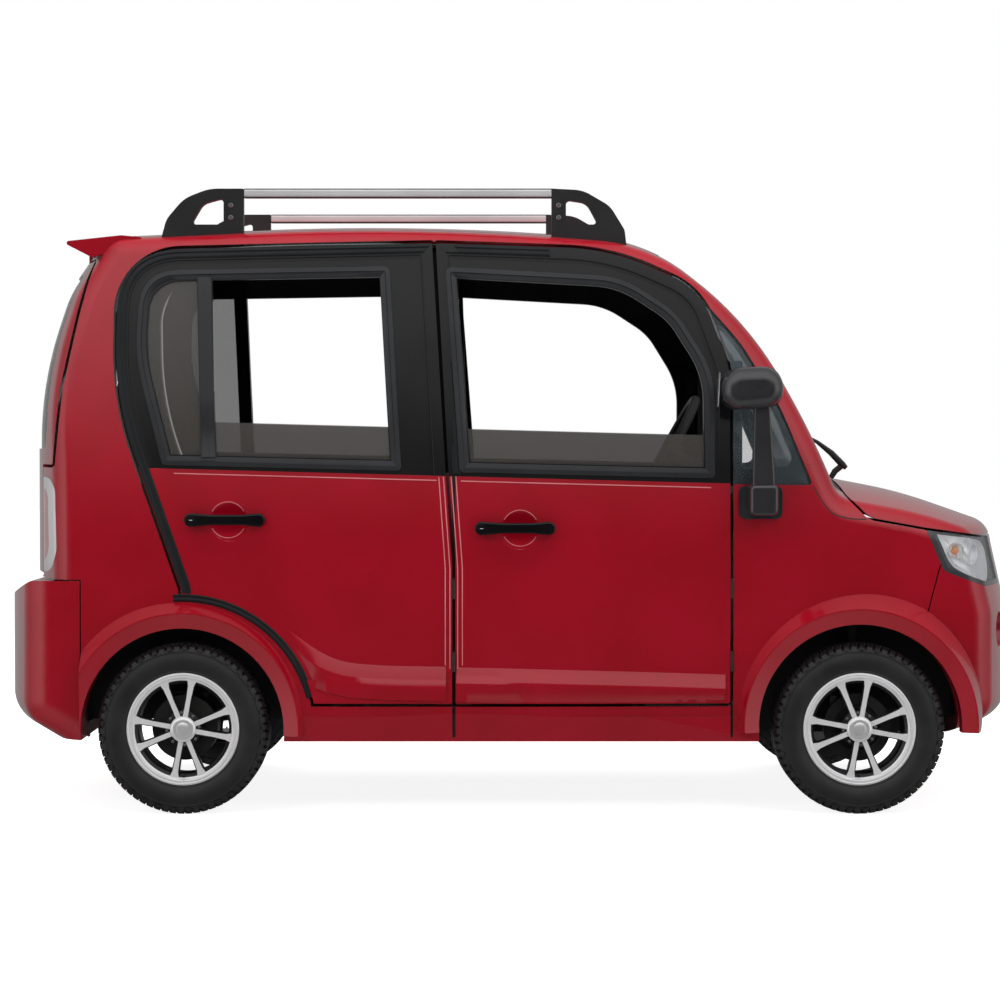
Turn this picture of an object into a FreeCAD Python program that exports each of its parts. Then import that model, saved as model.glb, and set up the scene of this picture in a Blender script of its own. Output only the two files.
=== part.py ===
import FreeCAD, Part

import math
import os

import Sketcher
from FreeCAD import Placement, Rotation, Vector

# Small electric car, four doors, in its own frame: X forward, Y left, Z up,
# origin on the ground under the middle of its bounding box. Millimetres.

os.makedirs("parts", exist_ok=True)
doc = FreeCAD.newDocument("mobility_car")
sheet = doc.addObject("Spreadsheet::Sheet", "Sizes")

# name, value, what it is
SIZES = [
    ("body_half_width", 628.0, "widest half width of the bare body side"),
    ("side_centre_z", 540.0, "height at which the side is widest"),
    ("side_radius", 4600.0, "radius of the side in a cross section"),
    ("side_plan_radius", 14000.0, "radius of the side seen from above"),
    ("roof_crown_radius", 3600.0, "radius of the roof across the car"),
    ("tail_x", -1292.0, "rear face of the tail at the centre line"),
    ("tail_plan_radius", 1500.0, "radius of the tail seen from above"),
    ("nose_x", 1360.0, "front face of the nose at the centre line"),
    ("nose_plan_radius", 1400.0, "radius of the nose seen from above"),
    ("corner_radius", 90.0, "rounding of the upright corners"),
    ("shoulder_radius", 62.0, "rounding of roof and hood edges"),
    ("rear_bumper_reach", 68.0, "how far the rear bumper stands out of the tail"),
    ("wall", 35.0, "thickness of the body walls and doors"),
    ("floor_z", 189.0, "underside of the body"),
    ("belt_z", 872.0, "belt line under the windows at X 0"),
    ("belt_slope", 0.0265, "fall of the belt line towards the front"),
    ("door_gap", 8.0, "gap around each door, hood and tailgate"),
    ("hood_x", 880.0, "X of the rear edge of the hood"),
    ("seat_gap", 0.3, "play between a piece and what carries it"),
    ("hinge_x", 568.0, "X of the front edge of the front doors"),
    ("centre_gap_x", -150.0, "X of the lower front edge of the rear doors"),
    ("crease_z", 352.0, "height of the crease along the lower doors"),
    ("crease_out", 5.0, "how far the doors stand out under the crease"),
    ("hinge_lug_length", 52.0, "height of a door hinge barrel"),
    ("door_bottom_z", 289.0, "lower edge of the doors"),
    ("glass_inset", 6.0, "how far the glass lies inside the outer surface"),
    ("glass_thick", 5.0, "thickness of the windows"),
    ("screen_thick", 6.0, "thickness of the windscreen"),
    ("rear_axle_x", -847.0, "X of the rear wheels"),
    ("wheel_base", 1750.0, "distance between the axles"),
    ("axle_z", 221.5, "height of the wheel centres"),
    ("tyre_radius", 221.5, "outer radius of a tyre"),
    ("tyre_width", 135.0, "width of a tyre"),
    ("rim_radius", 140.0, "outer radius of a rim flange"),
    ("spoke_spread", 33.0, "angle between the two spokes of a pair, degrees"),
    ("wheel_y", 545.0, "centre plane of a wheel from the middle"),
    ("kingpin_inset", 60.0, "steering axis inboard of the wheel plane"),
    ("arch_radius", 262.0, "radius of the wheel arch lips"),
    ("front_arch_rise", 10.0, "front arch centre above the axle"),
    ("well_radius", 280.0, "radius of the wheel wells inside the lips"),
    ("flare_crease", 303.0, "radius of the crease on a flare"),
    ("flare_outer", 322.0, "radius at which a flare leaves the body"),
    ("flare_rise", 26.0, "centre of a flare's outer edge above its arch"),
    ("door_arch_radius", 346.0, "radius of the rear door around the rear wheel"),
    ("flare_out", 12.0, "how far a flare stands out of the widest side"),
    ("divider_x", -787.0, "middle of the bar between the two rear door windows"),
    ("glass_drop", 123.0, "height of the lowered door windows above the belt line"),
    ("rail_z", 1628.0, "top of the roof rails"),
    ("rail_y", 452.0, "distance of a roof rail from the middle"),
    ("rail_width", 32.0, "width of a roof rail"),
    ("battery_length", 760.0, "length of the battery"),
    ("battery_width", 640.0, "width of the battery"),
    ("steering_radius", 178.0, "centre radius of the steering wheel rim"),
    ("steering_grip", 14.0, "radius of the steering wheel rim section"),
    ("steering_x", 452.0, "X of the steering wheel centre"),
    ("steering_y", 290.0, "Y of the steering wheel centre"),
    ("steering_z", 925.0, "Z of the steering wheel centre"),
    ("steering_tilt", 28.0, "tilt of the steering wheel plane, degrees"),
    ("seat_width", 440.0, "width of a front seat"),
    ("seat_y", 285.0, "middle of a front seat from the middle of the car"),
    ("seat_base_z", 300.0, "underside of the seat cushions"),
    ("cushion_top_z", 545.0, "top of the seat cushions"),
    ("backrest_top_z", 865.0, "top of the backrests"),
    ("motor_radius", 95.0, "radius of the drive motor"),
    ("motor_length", 270.0, "length of the drive motor"),
    ("gear_length", 140.0, "length of the gear case beside the motor"),
    ("gear_width", 80.0, "width of the gear case"),
    ("gear_height", 128.0, "height of the gear case"),
    ("sill_step_z", 254.0, "upper edge of the step along the sill"),
    ("lens_thick", 6.0, "thickness of the headlamp lens"),
    ("bezel_width", 12.0, "width of the frame around a headlamp lens"),
    ("fog_radius", 46.0, "radius of a fog lamp"),
    ("fog_y", 430.0, "distance of a fog lamp from the middle"),
    ("fog_z", 470.0, "height of a fog lamp"),
    ("cup_radius", 49.0, "radius of the finger cup behind a door handle"),
    ("cup_depth", 13.0, "depth of the finger cup"),
    ("handle_height", 38.0, "height of a door handle at its ends"),
    ("handle_depth", 15.0, "thickness of a door handle"),
    ("handle_reach", 31.0, "how far a door handle stands out of the door"),
    ("battery_x", -400.0, "rear face of the battery"),
    ("motor_ahead", 150.0, "distance of the motor ahead of the rear axle"),
    ("motor_z", 310.0, "height of the motor's middle"),
]
for row, (name, value, note) in enumerate(SIZES, start=1):
    sheet.set("A%d" % row, note)
    sheet.set("B%d" % row, "%.6g" % value)
    sheet.setAlias("B%d" % row, name)
doc.recompute()


class Values:
    pass


v = Values()
for name, value, note in SIZES:
    setattr(v, name, float(getattr(sheet, name)))

front_axle_x = v.rear_axle_x + v.wheel_base
FRONT = 1
REAR = -1


# Geometry helpers

def at_xz(a, b):
    return Vector(a, 0, b)


def at_yz(a, b):
    return Vector(0, a, b)


def moved_corners(corners, distance):
    """Corners (a, b, radius) of an open run, moved to the right of its direction."""
    lines = []
    for (a0, b0, _), (a1, b1, _) in zip(corners, corners[1:]):
        length = math.hypot(a1 - a0, b1 - b0)
        da = (a1 - a0) / length
        db = (b1 - b0) / length
        lines.append((a0 + db * distance, b0 - da * distance, da, db))
    out = [(lines[0][0], lines[0][1], 0)]
    for i in range(1, len(corners) - 1):
        p, q = lines[i - 1], lines[i]
        turn = p[2] * q[3] - p[3] * q[2]
        t = ((q[0] - p[0]) * q[3] - (q[1] - p[1]) * q[2]) / turn
        radius = corners[i][2]
        if radius > 0:
            radius = max(radius + (distance if turn > 0 else -distance), 1.0)
        out.append((p[0] + p[2] * t, p[1] + p[3] * t, radius))
    last = lines[-1]
    length = math.hypot(corners[-1][0] - corners[-2][0], corners[-1][1] - corners[-2][1])
    out.append((last[0] + last[2] * length, last[1] + last[3] * length, 0))
    return out


def run_edges(corners, place):
    """Edges of an open run of corners with rounded bends."""
    points = [place(a, b) for a, b, _ in corners]
    edges = []
    last = points[0]
    for i in range(1, len(points) - 1):
        before, here, after = points[i - 1], points[i], points[i + 1]
        u = (before - here).normalize()
        w = (after - here).normalize()
        angle = math.acos(max(-1.0, min(1.0, u.dot(w))))
        radius = corners[i][2]
        reach = radius / math.tan(angle / 2)
        room = min((last - here).Length, (after - here).Length)
        if reach > room:
            radius = radius * room / reach * 0.98
            reach = radius / math.tan(angle / 2)
        if radius <= 0:
            edges.append(Part.makeLine(last, here))
            last = here
            continue
        start = here + u * reach
        end = here + w * reach
        middle = here + (u + w).normalize() * (radius / math.sin(angle / 2) - radius)
        if (start - last).Length > 1e-4:
            edges.append(Part.makeLine(last, start))
        edges.append(Part.Arc(start, middle, end).toShape())
        last = end
    if (points[-1] - last).Length > 1e-4:
        edges.append(Part.makeLine(last, points[-1]))
    return edges


def outline(corners, place):
    """Closed wire through corners (a, b, radius)."""
    first, second = corners[0], corners[1]
    start = ((first[0] + second[0]) / 2, (first[1] + second[1]) / 2, 0)
    run = [start] + list(corners[1:]) + [first, start]
    return Part.Wire(run_edges(run, place))


def prism_y(corners, y0, y1):
    wire = outline(corners, at_xz)
    wire.translate(Vector(0, y0, 0))
    return Part.Face(wire).extrude(Vector(0, y1 - y0, 0))


def prism_x(corners, x0, x1):
    wire = outline(corners, at_yz)
    wire.translate(Vector(x0, 0, 0))
    return Part.Face(wire).extrude(Vector(x1 - x0, 0, 0))


def block(x0, x1, y0, y1, z0, z1):
    return Part.makeBox(x1 - x0, y1 - y0, z1 - z0, Vector(x0, y0, z0))


def rod(start, end, radius):
    a = Vector(*start)
    b = Vector(*end)
    return Part.makeCylinder(radius, (b - a).Length, a, b - a)


def ring_y(x, z, profile):
    """Body of revolution about a line along Y through (x, z); profile is (radius, y)."""
    points = [Vector(x + r, y, z) for r, y in profile]
    face = Part.Face(Part.makePolygon(points + [points[0]]))
    return face.revolve(Vector(x, 0, z), Vector(0, 1, 0), 360)


def mirrored(shape):
    return shape.mirror(Vector(0, 0, 0), Vector(0, 1, 0))


def joined(*shapes):
    return shapes[0].fuse(list(shapes[1:]))


def without(shape, *others):
    return shape.cut(list(others))


def grown(corners, distance):
    """Closed corners moved outwards; they run clockwise in their plane."""
    loop = [corners[-1]] + list(corners) + [corners[0]]
    return moved_corners(loop, -distance)[1:-1]


# The body's outer surface and the surfaces inside it

# x, z, rounding: middle line of roof, windscreen and hood, from tail to nose
TOP_LINE = [
    (-1700, 1496.5, 0),
    (-248, 1561.8, 7000),
    (359.7, 1513, 440),
    (622, 1316.5, 850),
    (778, 1043.5, 2000),
    (855, 870, 60),
    (1073, 828.5, 1200),
    (1600, 644, 0),
]


def turned_solid(corners, centre, axis, ends, start, sweep):
    edges = run_edges(corners, at_xz)
    loop = [at_xz(*corners[-1][:2])] + [at_xz(*e) for e in ends] + [at_xz(*corners[0][:2])]
    for a, b in zip(loop, loop[1:]):
        edges.append(Part.makeLine(a, b))
    solid = Part.Face(Part.Wire(edges)).revolve(centre, axis, sweep)
    solid.rotate(centre, axis, start)
    return solid


forms = {}


def body_form(inset, tail_reach=0.0, rounded=True):
    """The closed body shape, its surface moved inwards by inset."""
    key = (inset, tail_reach, rounded)
    if key not in forms:
        forms[key] = new_body_form(inset, tail_reach, rounded)
    return forms[key]


def new_body_form(inset, tail_reach, rounded):
    crown_z = 1550.0 - v.roof_crown_radius
    run = moved_corners(TOP_LINE, inset)
    top = turned_solid(
        run, at_xz(0, crown_z), Vector(1, 0, 0), [(run[-1][0], -300), (run[0][0], -300)], -15, 30
    )
    tail = v.tail_x - tail_reach
    rear_line = [
        (tail + 352, 1765, 0),
        (tail + 80, 1365, 300),
        (tail, 1125, 1000),
        (tail, 250, 80),
        (tail + 160, 150, 0),
    ]
    run = moved_corners(rear_line, -inset)
    centre = v.tail_x + v.tail_plan_radius
    rear = turned_solid(
        run, at_xz(centre, 0), Vector(0, 0, 1), [(centre, run[-1][1]), (centre, run[0][1])], 0, 360
    )
    front_line = [
        (v.nose_x - 142, 1700, 0),
        (v.nose_x - 40, 700, 160),
        (v.nose_x, 520, 160),
        (v.nose_x, 250, 70),
        (v.nose_x - 206, 165, 0),
    ]
    run = moved_corners(front_line, inset)
    centre = v.nose_x - v.nose_plan_radius
    front = turned_solid(
        run, at_xz(centre, 0), Vector(0, 0, 1), [(centre, run[-1][1]), (centre, run[0][1])], 0, 360
    )
    half = v.body_half_width - inset
    radius = v.side_radius - inset
    centre_y = half - radius

    def side_y(z):
        return centre_y + math.sqrt(radius ** 2 - (z - v.side_centre_z) ** 2)

    plan_y = half - v.side_plan_radius
    low, high = 100.0, 1750.0
    section = [
        Part.Arc(
            Vector(-100, side_y(low), low),
            Vector(-100, side_y(v.side_centre_z), v.side_centre_z),
            Vector(-100, side_y(high), high),
        ).toShape(),
        Part.makeLine(Vector(-100, side_y(high), high), Vector(-100, plan_y, high)),
        Part.makeLine(Vector(-100, plan_y, high), Vector(-100, plan_y, low)),
        Part.makeLine(Vector(-100, plan_y, low), Vector(-100, side_y(low), low)),
    ]
    side = Part.Face(Part.Wire(section)).revolve(Vector(-100, plan_y, 0), Vector(0, 0, 1), 16)
    side.rotate(Vector(-100, plan_y, 0), Vector(0, 0, 1), -8)
    form = side.common(mirrored(side)).common(top).common(rear).common(front)
    form = form.cut(block(-2500, 2500, -1500, 1500, -1000, v.floor_z + inset))
    if not rounded:
        return form
    edges = []
    for edge in form.Edges:
        sides = sorted(face_kind(face) for face in form.ancestorsOfType(edge, Part.Face))
        corner = sides in (["rear", "side"], ["front", "side"])
        rim = sides in (["side", "top"], ["front", "top"], ["rear", "top"])
        if corner or (rim and not tail_reach):
            edges.append(edge)
    return form.makeFillet(max(v.shoulder_radius - inset, 12.0), edges)


def face_kind(face):
    u0, u1, w0, w1 = face.ParameterRange
    normal = face.normalAt((u0 + u1) / 2, (w0 + w1) / 2)
    centre = face.CenterOfMass
    if abs(normal.y) > 0.75:
        return "side"
    if centre.x < -1000 and normal.x < -0.5:
        return "rear"
    if centre.x > 1150 and normal.x > 0.5:
        return "front"
    if normal.z < -0.9:
        return "floor"
    return "top"


outer = body_form(0.0)
inner = body_form(v.wall)
shell = outer.cut(inner)


def belt_at(x):
    return v.belt_z - v.belt_slope * x


def below(height_rear, height_front, bottom=-50.0):
    """Wedge of space under a line from the tail to the nose."""
    corners = [(-1700, height_rear, 0), (1700, height_front, 0), (1700, bottom, 0), (-1700, bottom, 0)]
    return prism_y(corners, -1000, 1000)


SIDE_Y0 = -1000.0
SIDE_Y1 = -452.0

# x, z, rounding: outlines in the side view, clockwise
REAR_DOOR = [
    (-1023, 1464, 165),
    (-204, 1481, 6),
    (-167, 878, 600),
    (v.centre_gap_x, 640, 300),
    (v.centre_gap_x, v.door_bottom_z, 6),
    (-870, v.door_bottom_z, 6),
    (-850, 583, 40),
    (-1025, 1073, 850),
]
FRONT_DOOR = [
    (-202 + v.door_gap, 1481, 6),
    (259, 1466, 600),
    (493, 1362, 180),
    (v.hinge_x + 2, 1146, 220),
    (v.hinge_x, 1000, 6),
    (v.hinge_x, v.door_bottom_z, 6),
    (v.centre_gap_x + v.door_gap, v.door_bottom_z, 6),
    (v.centre_gap_x + v.door_gap, 640, 300),
    (-167 + v.door_gap, 878, 600),
]
REAR_WINDOW = [
    (-962, 1410, 105),
    (-313, 1421, 20),
    (-281, belt_at(-281) + 10, 12),
    (-900, belt_at(-900) + 8, 12),
    (-975, 1190, 500),
]
FRONT_WINDOW = [
    (-170, 1419, 20),
    (287, 1394, 250),
    (430, 1301, 200),
    (528, 1144, 250),
    (528, belt_at(528) + 12, 12),
    (-130, belt_at(-130) + 10, 12),
]
WINDOW_TRIM = 28.0
DIVIDER = [(-815, 1450, 4), (-777, 1450, 4), (-760, 860, 4), (-797, 860, 4)]


def side_prism(corners):
    return prism_y(corners, SIDE_Y0, SIDE_Y1)


front_arch_z = v.axle_z + v.front_arch_rise


def arch_cut(x, z, radius, y0=-1000.0, y1=-330.0):
    return rod((x, y0, z), (x, y1, z), radius)


# The four doors: lower panel, window frame and glass
belt_line = below(belt_at(-1700), belt_at(1700))
lowered = below(belt_at(-1700) + v.glass_drop, belt_at(1700) + v.glass_drop)
glass_skin = body_form(v.glass_inset).cut(body_form(v.glass_inset + v.glass_thick))

door_cuts = {}
pieces = {}


def keep(name, shape):
    pieces[name] = shape


lower_skin = body_form(-v.crease_out).cut(inner)
lower_skin = lower_skin.common(
    prism_y([(-1100, 200, 0), (-1100, v.crease_z, 0), (700, v.crease_z - 8, 0), (700, 200, 0)], -1000, -500)
)
door_shell = shell.fuse(lower_skin)

for name, corners, window in (
    ("door_rear", REAR_DOOR, REAR_WINDOW),
    ("door_front", FRONT_DOOR, FRONT_WINDOW),
):
    blank = door_shell.common(side_prism(corners))
    cut = side_prism(grown(corners, v.door_gap))
    if name == "door_rear":
        arch = arch_cut(v.rear_axle_x, v.axle_z, v.door_arch_radius)
        blank = blank.cut(arch)
        cut = cut.cut(arch_cut(v.rear_axle_x, v.axle_z, v.door_arch_radius - v.door_gap))
    door_cuts[name] = cut
    opening = side_prism(grown(window, -WINDOW_TRIM))
    panel = blank.common(belt_line)
    frame = blank.cut(belt_line).cut(opening)
    glass = glass_skin.common(opening)
    if name == "door_rear":
        divider = side_prism(DIVIDER)
        frame = frame.fuse(blank.cut(belt_line).common(opening).common(divider))
        fixed = glass.cut(divider).common(block(-1100, v.divider_x, -1000, 0, 0, 1700))
        glass = glass.cut(divider).common(block(v.divider_x, 0, -1000, 0, 0, 1700))
        glass = joined(glass.common(lowered), fixed)
    else:
        glass = glass.common(lowered)
    keep(name + "_panel", panel)
    keep(name + "_frame", frame)
    keep(name + "_glass", glass)

# Fixed quarter windows between the front doors and the windscreen pillars
QUARTER = [
    (425, 1388, 4),
    (497, 1335, 100),
    (597, 1221, 400),
    (701, 1050, 500),
    (782, 852, 8),
    (480, 856, 4),
    (480, 1200, 4),
]
QUARTER_WINDOW = [
    (520, 1290, 8),
    (590, 1203, 300),
    (676, 1053, 400),
    (740, 902, 24),
    (598, 893, 10),
    (598, 1110, 150),
    (545, 1245, 40),
]

# Openings in front, at the tail and for the hood
SCREEN = [(-485, 905, 55), (-432, 1466, 60), (432, 1466, 60), (485, 905, 55)]
screen_cut = prism_x(SCREEN, 380, 905)
screen_skin = body_form(3.0).cut(body_form(3.0 + v.screen_thick))
HOOD_LINE = [
    (v.hood_x, 905, 4),
    (1420, 905, 4),
    (1420, 716, 4),
    (1230, 720, 60),
    (1074, 742, 200),
    (930, 768, 60),
    (v.hood_x, 822, 30),
]
HEADLAMP = [
    (1070, 756, 8),
    (1232, 740, 8),
    (1420, 735, 8),
    (1420, 588, 8),
    (1237, 588, 30),
    (1125, 628, 30),
]
hood_cut = prism_y(grown(HOOD_LINE, v.door_gap - 2), -1000, 1000)
lamp_cut = prism_y(HEADLAMP, -1000, -330)
NOSE_SEAM = [
    (1420, 740, 4),
    (1420, 100, 4),
    (1040, 100, 4),
    (1063, 454, 60),
    (1112, 640, 20),
    (1150, 700, 20),
]
TAILGATE_UPPER = [
    (-1400, 1440, 4),
    (-1096, 1440, 4),
    (-1130, 1300, 300),
    (-1172, 1100, 500),
    (-1192, 905, 6),
    (-1400, 905, 4),
]
tail_z0 = 618.0


def tailgate_region(gap):
    upper = prism_y(grown(TAILGATE_UPPER, gap), -1000, 1000)
    lower = block(-1500, -1050, -395 - gap, 395 + gap, tail_z0 - gap, 906)
    return upper.fuse(lower)


tailgate_blank = shell.common(tailgate_region(0))
BACK_GLASS = [(-470, 945, 60), (-425, 1405, 70), (425, 1405, 70), (470, 945, 60)]
back_glass_cut = prism_x(BACK_GLASS, -1500, -1050)
keep("tailgate", tailgate_blank.cut(back_glass_cut))
keep("tailgate_glass", glass_skin.common(back_glass_cut))

# The rear bumper stands out of the tail and runs round its corners
def bumper_form(inset):
    form = body_form(inset, v.rear_bumper_reach, rounded=False)
    form = form.common(block(-1700, -1000, -1000, 1000, 0, 604))
    edges = []
    for edge in form.Edges:
        sides = sorted(face_kind(face) for face in form.ancestorsOfType(edge, Part.Face))
        if sides == ["rear", "side"]:
            edges.append(edge)
    return form.makeFillet(v.corner_radius - inset, edges)


bumper_outer = bumper_form(0.0)
bumper_solid = bumper_outer.cut(bumper_form(v.wall))
BUMPER = [
    (-1500, 480, 4),
    (-1330, 560, 40),
    (-1245, 604, 30),
    (-1115, 604, 4),
    (-1115, 100, 4),
    (-1500, 100, 4),
]
rear_arches = joined(
    arch_cut(v.rear_axle_x, v.axle_z, v.arch_radius),
    mirrored(arch_cut(v.rear_axle_x, v.axle_z, v.arch_radius)),
)
front_arches = joined(
    arch_cut(front_axle_x, front_arch_z, v.arch_radius),
    mirrored(arch_cut(front_axle_x, front_arch_z, v.arch_radius)),
)
bumper_shelf = bumper_outer.cut(inner).common(block(-1500, -1000, -1000, 1000, 470, 604))
rear_bumper = bumper_solid.fuse(bumper_shelf)
rear_bumper = rear_bumper.common(prism_y(BUMPER, -1000, 1000)).cut(rear_arches)
keep("rear_bumper", rear_bumper)

# Roof panel with its spoiler
half_gap_z = v.door_gap / 2
roof_region = block(-1200, 520, -440, 440, 1400, 1700)
SPOILER = [(-1178, 1489, 6), (-1020, 1506, 60), (-960, 1500, 4), (-1000, 1470, 4), (-1098, 1448, 20)]
roof = shell.common(roof_region).cut(screen_cut).cut(tailgate_region(v.door_gap))
spoiler = prism_y(SPOILER, -470, 470).cut(inner)
roof = roof.fuse(spoiler)
tailgate_hinge_x = -1165.0
tailgate_hinge_z = 1440 + half_gap_z
for y0 in (-150, 90):
    start = (tailgate_hinge_x + 16, y0, tailgate_hinge_z)
    end = (tailgate_hinge_x + 16, y0 + 60, tailgate_hinge_z)
    barrel = rod(start, end, half_gap_z - v.seat_gap)
    lug = block(tailgate_hinge_x + 16, tailgate_hinge_x + 26, y0, y0 + 60, tailgate_hinge_z, 1486)
    roof = roof.fuse([barrel, lug])
keep("roof_panel", roof)

# Body sides with pillars, sills and quarter panels
LAMP_BOX = [(-1400, 872, 8), (-1184, 872, 44), (-1178, 680, 60), (-1200, 622, 44), (-1400, 622, 8)]
LAMP_LENS = [(-1400, 848, 8), (-1214, 846, 34), (-1210, 690, 40), (-1222, 650, 30), (-1400, 650, 8)]
tail_lamp_cut = prism_y(LAMP_BOX, -1000, -402)


def circle_y(x, y, z, radius):
    return Part.Wire(Part.Circle(Vector(x, y, z), Vector(0, 1, 0), radius).toShape())


def flare(x, z):
    """Flare of a right wheel arch: a slanted band out to its crease, then a steep one in to the lip."""
    y = -v.body_half_width - v.flare_out
    outer_edge = circle_y(x, y + 62, z + v.flare_rise, v.flare_outer)
    crease = circle_y(x, y, z, v.flare_crease)
    band = Part.makeLoft([outer_edge, crease], True, True)
    dish = Part.makeCone(
        v.arch_radius, v.flare_crease - 1, 16, Vector(x, y + 15, z), Vector(0, -1, 0)
    )
    return band.cut(dish)


nose_region = prism_y(NOSE_SEAM, -1000, 1000)
sill = body_form(-v.crease_out).cut(inner).common(block(-900, 800, -1000, -500, v.floor_z, v.sill_step_z))
side_blank = shell.common(block(-1500, 1500, -1000, -452, v.floor_z - 1, 1700))
side_blank = side_blank.fuse(sill)
side_blank = joined(side_blank, shell.common(block(-1500, -1000, -452, -380, 606, 1500)))
rear_flare = flare(v.rear_axle_x, v.axle_z).common(block(-1500, -500, -1000, -400, 205, 700))
front_flare = flare(front_axle_x, front_arch_z).common(block(500, 1500, -1000, -400, 214, 700))
body_side = side_blank.cut(block(v.hinge_x + v.door_gap, 1500, -1000, 0, 0, 905))
body_side = body_side.fuse(rear_flare.cut(inner))
quarter_cut = side_prism(QUARTER)
quarter_trim = body_form(v.glass_inset + v.glass_thick).cut(inner).common(quarter_cut)
quarter_trim = quarter_trim.cut([side_prism(QUARTER_WINDOW), door_cuts["door_front"]])
keep("quarter_trim", joined(quarter_trim, mirrored(quarter_trim)))
quarter_glass = glass_skin.common(quarter_cut).cut(door_cuts["door_front"])
keep("quarter_glass", joined(quarter_glass, mirrored(quarter_glass)))
body_side = without(
    body_side,
    door_cuts["door_rear"],
    door_cuts["door_front"],
    quarter_cut,
    screen_cut,
    tailgate_region(v.door_gap),
    tail_lamp_cut,
    block(-1500, -1115 + 3, -1000, 1000, 0, 607),
    arch_cut(v.rear_axle_x, v.axle_z, v.arch_radius),
)
body_side = body_side.cut([block(-1200, 520, -440.5, 440, 1400, 1700), spoiler])

# Centre pillar behind the doors, and the hinge barrels that stand in the gaps
pillar_inset = v.wall + v.door_gap - 2
pillar = body_form(pillar_inset).cut(body_form(pillar_inset + 28.0, 0.0, False))
pillar = pillar.common(
    prism_y([(-236, 1500, 4), (-140, 1500, 4), (-100, v.floor_z + 1, 4), (-196, v.floor_z + 1, 4)], -1000, -430)
)


def side_at(x, z):
    """Outer Y of the right body side near x, z."""
    in_plan = (x + 100.0) ** 2 / (2 * v.side_plan_radius)
    in_height = (z - v.side_centre_z) ** 2 / (2 * v.side_radius)
    return -(v.body_half_width - in_plan - in_height)


half_gap = v.door_gap / 2
rear_hinge_x = v.centre_gap_x + half_gap
front_hinge_x = v.hinge_x + half_gap
rear_hinge_y = side_at(v.centre_gap_x, v.side_centre_z) - 0.5
front_hinge_y = side_at(v.hinge_x, v.side_centre_z) - 0.5
HINGE_HEIGHTS = (372.0, 560.0)
rear_barrels = []
for z in HINGE_HEIGHTS:
    top = z + v.hinge_lug_length
    rear_barrels.append(rod((rear_hinge_x, rear_hinge_y, z), (rear_hinge_x, rear_hinge_y, top), half_gap - v.seat_gap))
    rear_barrels.append(block(rear_hinge_x - 1.5, rear_hinge_x + 1.5, rear_hinge_y, -575, z, top))
body_side = joined(body_side, pillar, *rear_barrels)
keep("body_side_right", body_side)
fender = side_blank.common(block(v.hinge_x + v.door_gap, 1500, -1000, 0, 0, 905))
fender = fender.fuse(front_flare.cut(inner))
fender = without(
    fender, quarter_cut, hood_cut, lamp_cut, nose_region, screen_cut, arch_cut(front_axle_x, front_arch_z, v.arch_radius)
)
for z in HINGE_HEIGHTS:
    top = z + v.hinge_lug_length
    fender = fender.fuse(
        rod((front_hinge_x, front_hinge_y, z), (front_hinge_x, front_hinge_y, top), half_gap - v.seat_gap)
    )
    fender = fender.fuse(
        block(front_hinge_x, front_hinge_x + half_gap + 6, front_hinge_y + 3, front_hinge_y + 20, z, top)
    )
keep("fender_right", fender)
nose = shell.cut(block(-2000, 900, -1000, 1000, -100, 2000)).common(prism_y(grown(NOSE_SEAM, -3), -1000, 1000))
nose = nose.fuse(front_flare.cut(inner).common(nose_region)).fuse(
    mirrored(front_flare.cut(inner).common(nose_region))
)
nose = without(nose, hood_cut, lamp_cut, mirrored(lamp_cut), front_arches)
intake = prism_x([(-300, 300, 30), (-280, 392, 30), (280, 392, 30), (300, 300, 30)], 1150, 1500)
nose = nose.cut(intake)
slat_room = body_form(9.0).cut(inner)
for z in (320, 346, 372):
    nose = nose.fuse(slat_room.common(block(1150, 1500, -305, 305, z - 4, z + 4)))
fog_lamps = []
for side in (-1, 1):
    y = side * v.fog_y
    nose = nose.cut(rod((1150, y, v.fog_z), (1500, y, v.fog_z), v.fog_radius + v.seat_gap))
    fog_lamps.append(rod((1235, y, v.fog_z), (1272, y, v.fog_z), v.fog_radius))
keep("front_bumper", nose)
keep("fog_lamps", joined(*fog_lamps))
keep("hood", shell.common(prism_y(HOOD_LINE, -1000, 1000)))
keep("windscreen", screen_skin.common(screen_cut))
lamp_room = prism_y(grown(HEADLAMP, -v.seat_gap), -1000, -330 - v.seat_gap).cut(hood_cut)
lens_room = prism_y(grown(HEADLAMP, -v.bezel_width), -1000, -342).cut(hood_cut)
lens = body_form(0.0).cut(body_form(v.lens_thick)).common(lens_room)
bucket = inner.cut(body_form(v.wall + 6)).common(lamp_room)
bucket = bucket.fuse(shell.common(lamp_room).cut(lens_room))
keep("headlamps", joined(lens, mirrored(lens)))
keep("headlamp_housings", joined(bucket, mirrored(bucket)))
lamp_shell = shell.common(prism_y(grown(LAMP_BOX, -v.seat_gap), -1000, -402 - v.seat_gap))
red_room = prism_y(LAMP_LENS, -1000, -420)
red_lens = lamp_shell.common(red_room)
lamp_ring = lamp_shell.cut(red_room)
keep("tail_lamps", joined(red_lens, mirrored(red_lens)))
keep("tail_lamp_bezels", joined(lamp_ring, mirrored(lamp_ring)))

# Cowl under the windscreen
cowl_x = v.hood_x - v.door_gap
COWL = [(795, 905, 2), (cowl_x, 905, 2), (cowl_x, 700, 2), (795, 700, 2)]
cowl = prism_y(COWL, -560, 560).common(outer).cut(prism_y(grown(HOOD_LINE, 4), -1000, 1000))
cowl = cowl.cut(fender.fuse(mirrored(fender))).cut(pieces["windscreen"]).cut(block(0, 2000, -1000, 1000, 0, 780))
for y0 in (-330, 290):
    barrel_x = v.hood_x - v.door_gap / 2
    barrel = rod((barrel_x, y0, 838), (barrel_x, y0 + 40, 838), v.door_gap / 2 - v.seat_gap)
    cowl = cowl.fuse([barrel, block(cowl_x - 4, barrel_x, y0, y0 + 40, 835, 841)])
keep("cowl", cowl)

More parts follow.
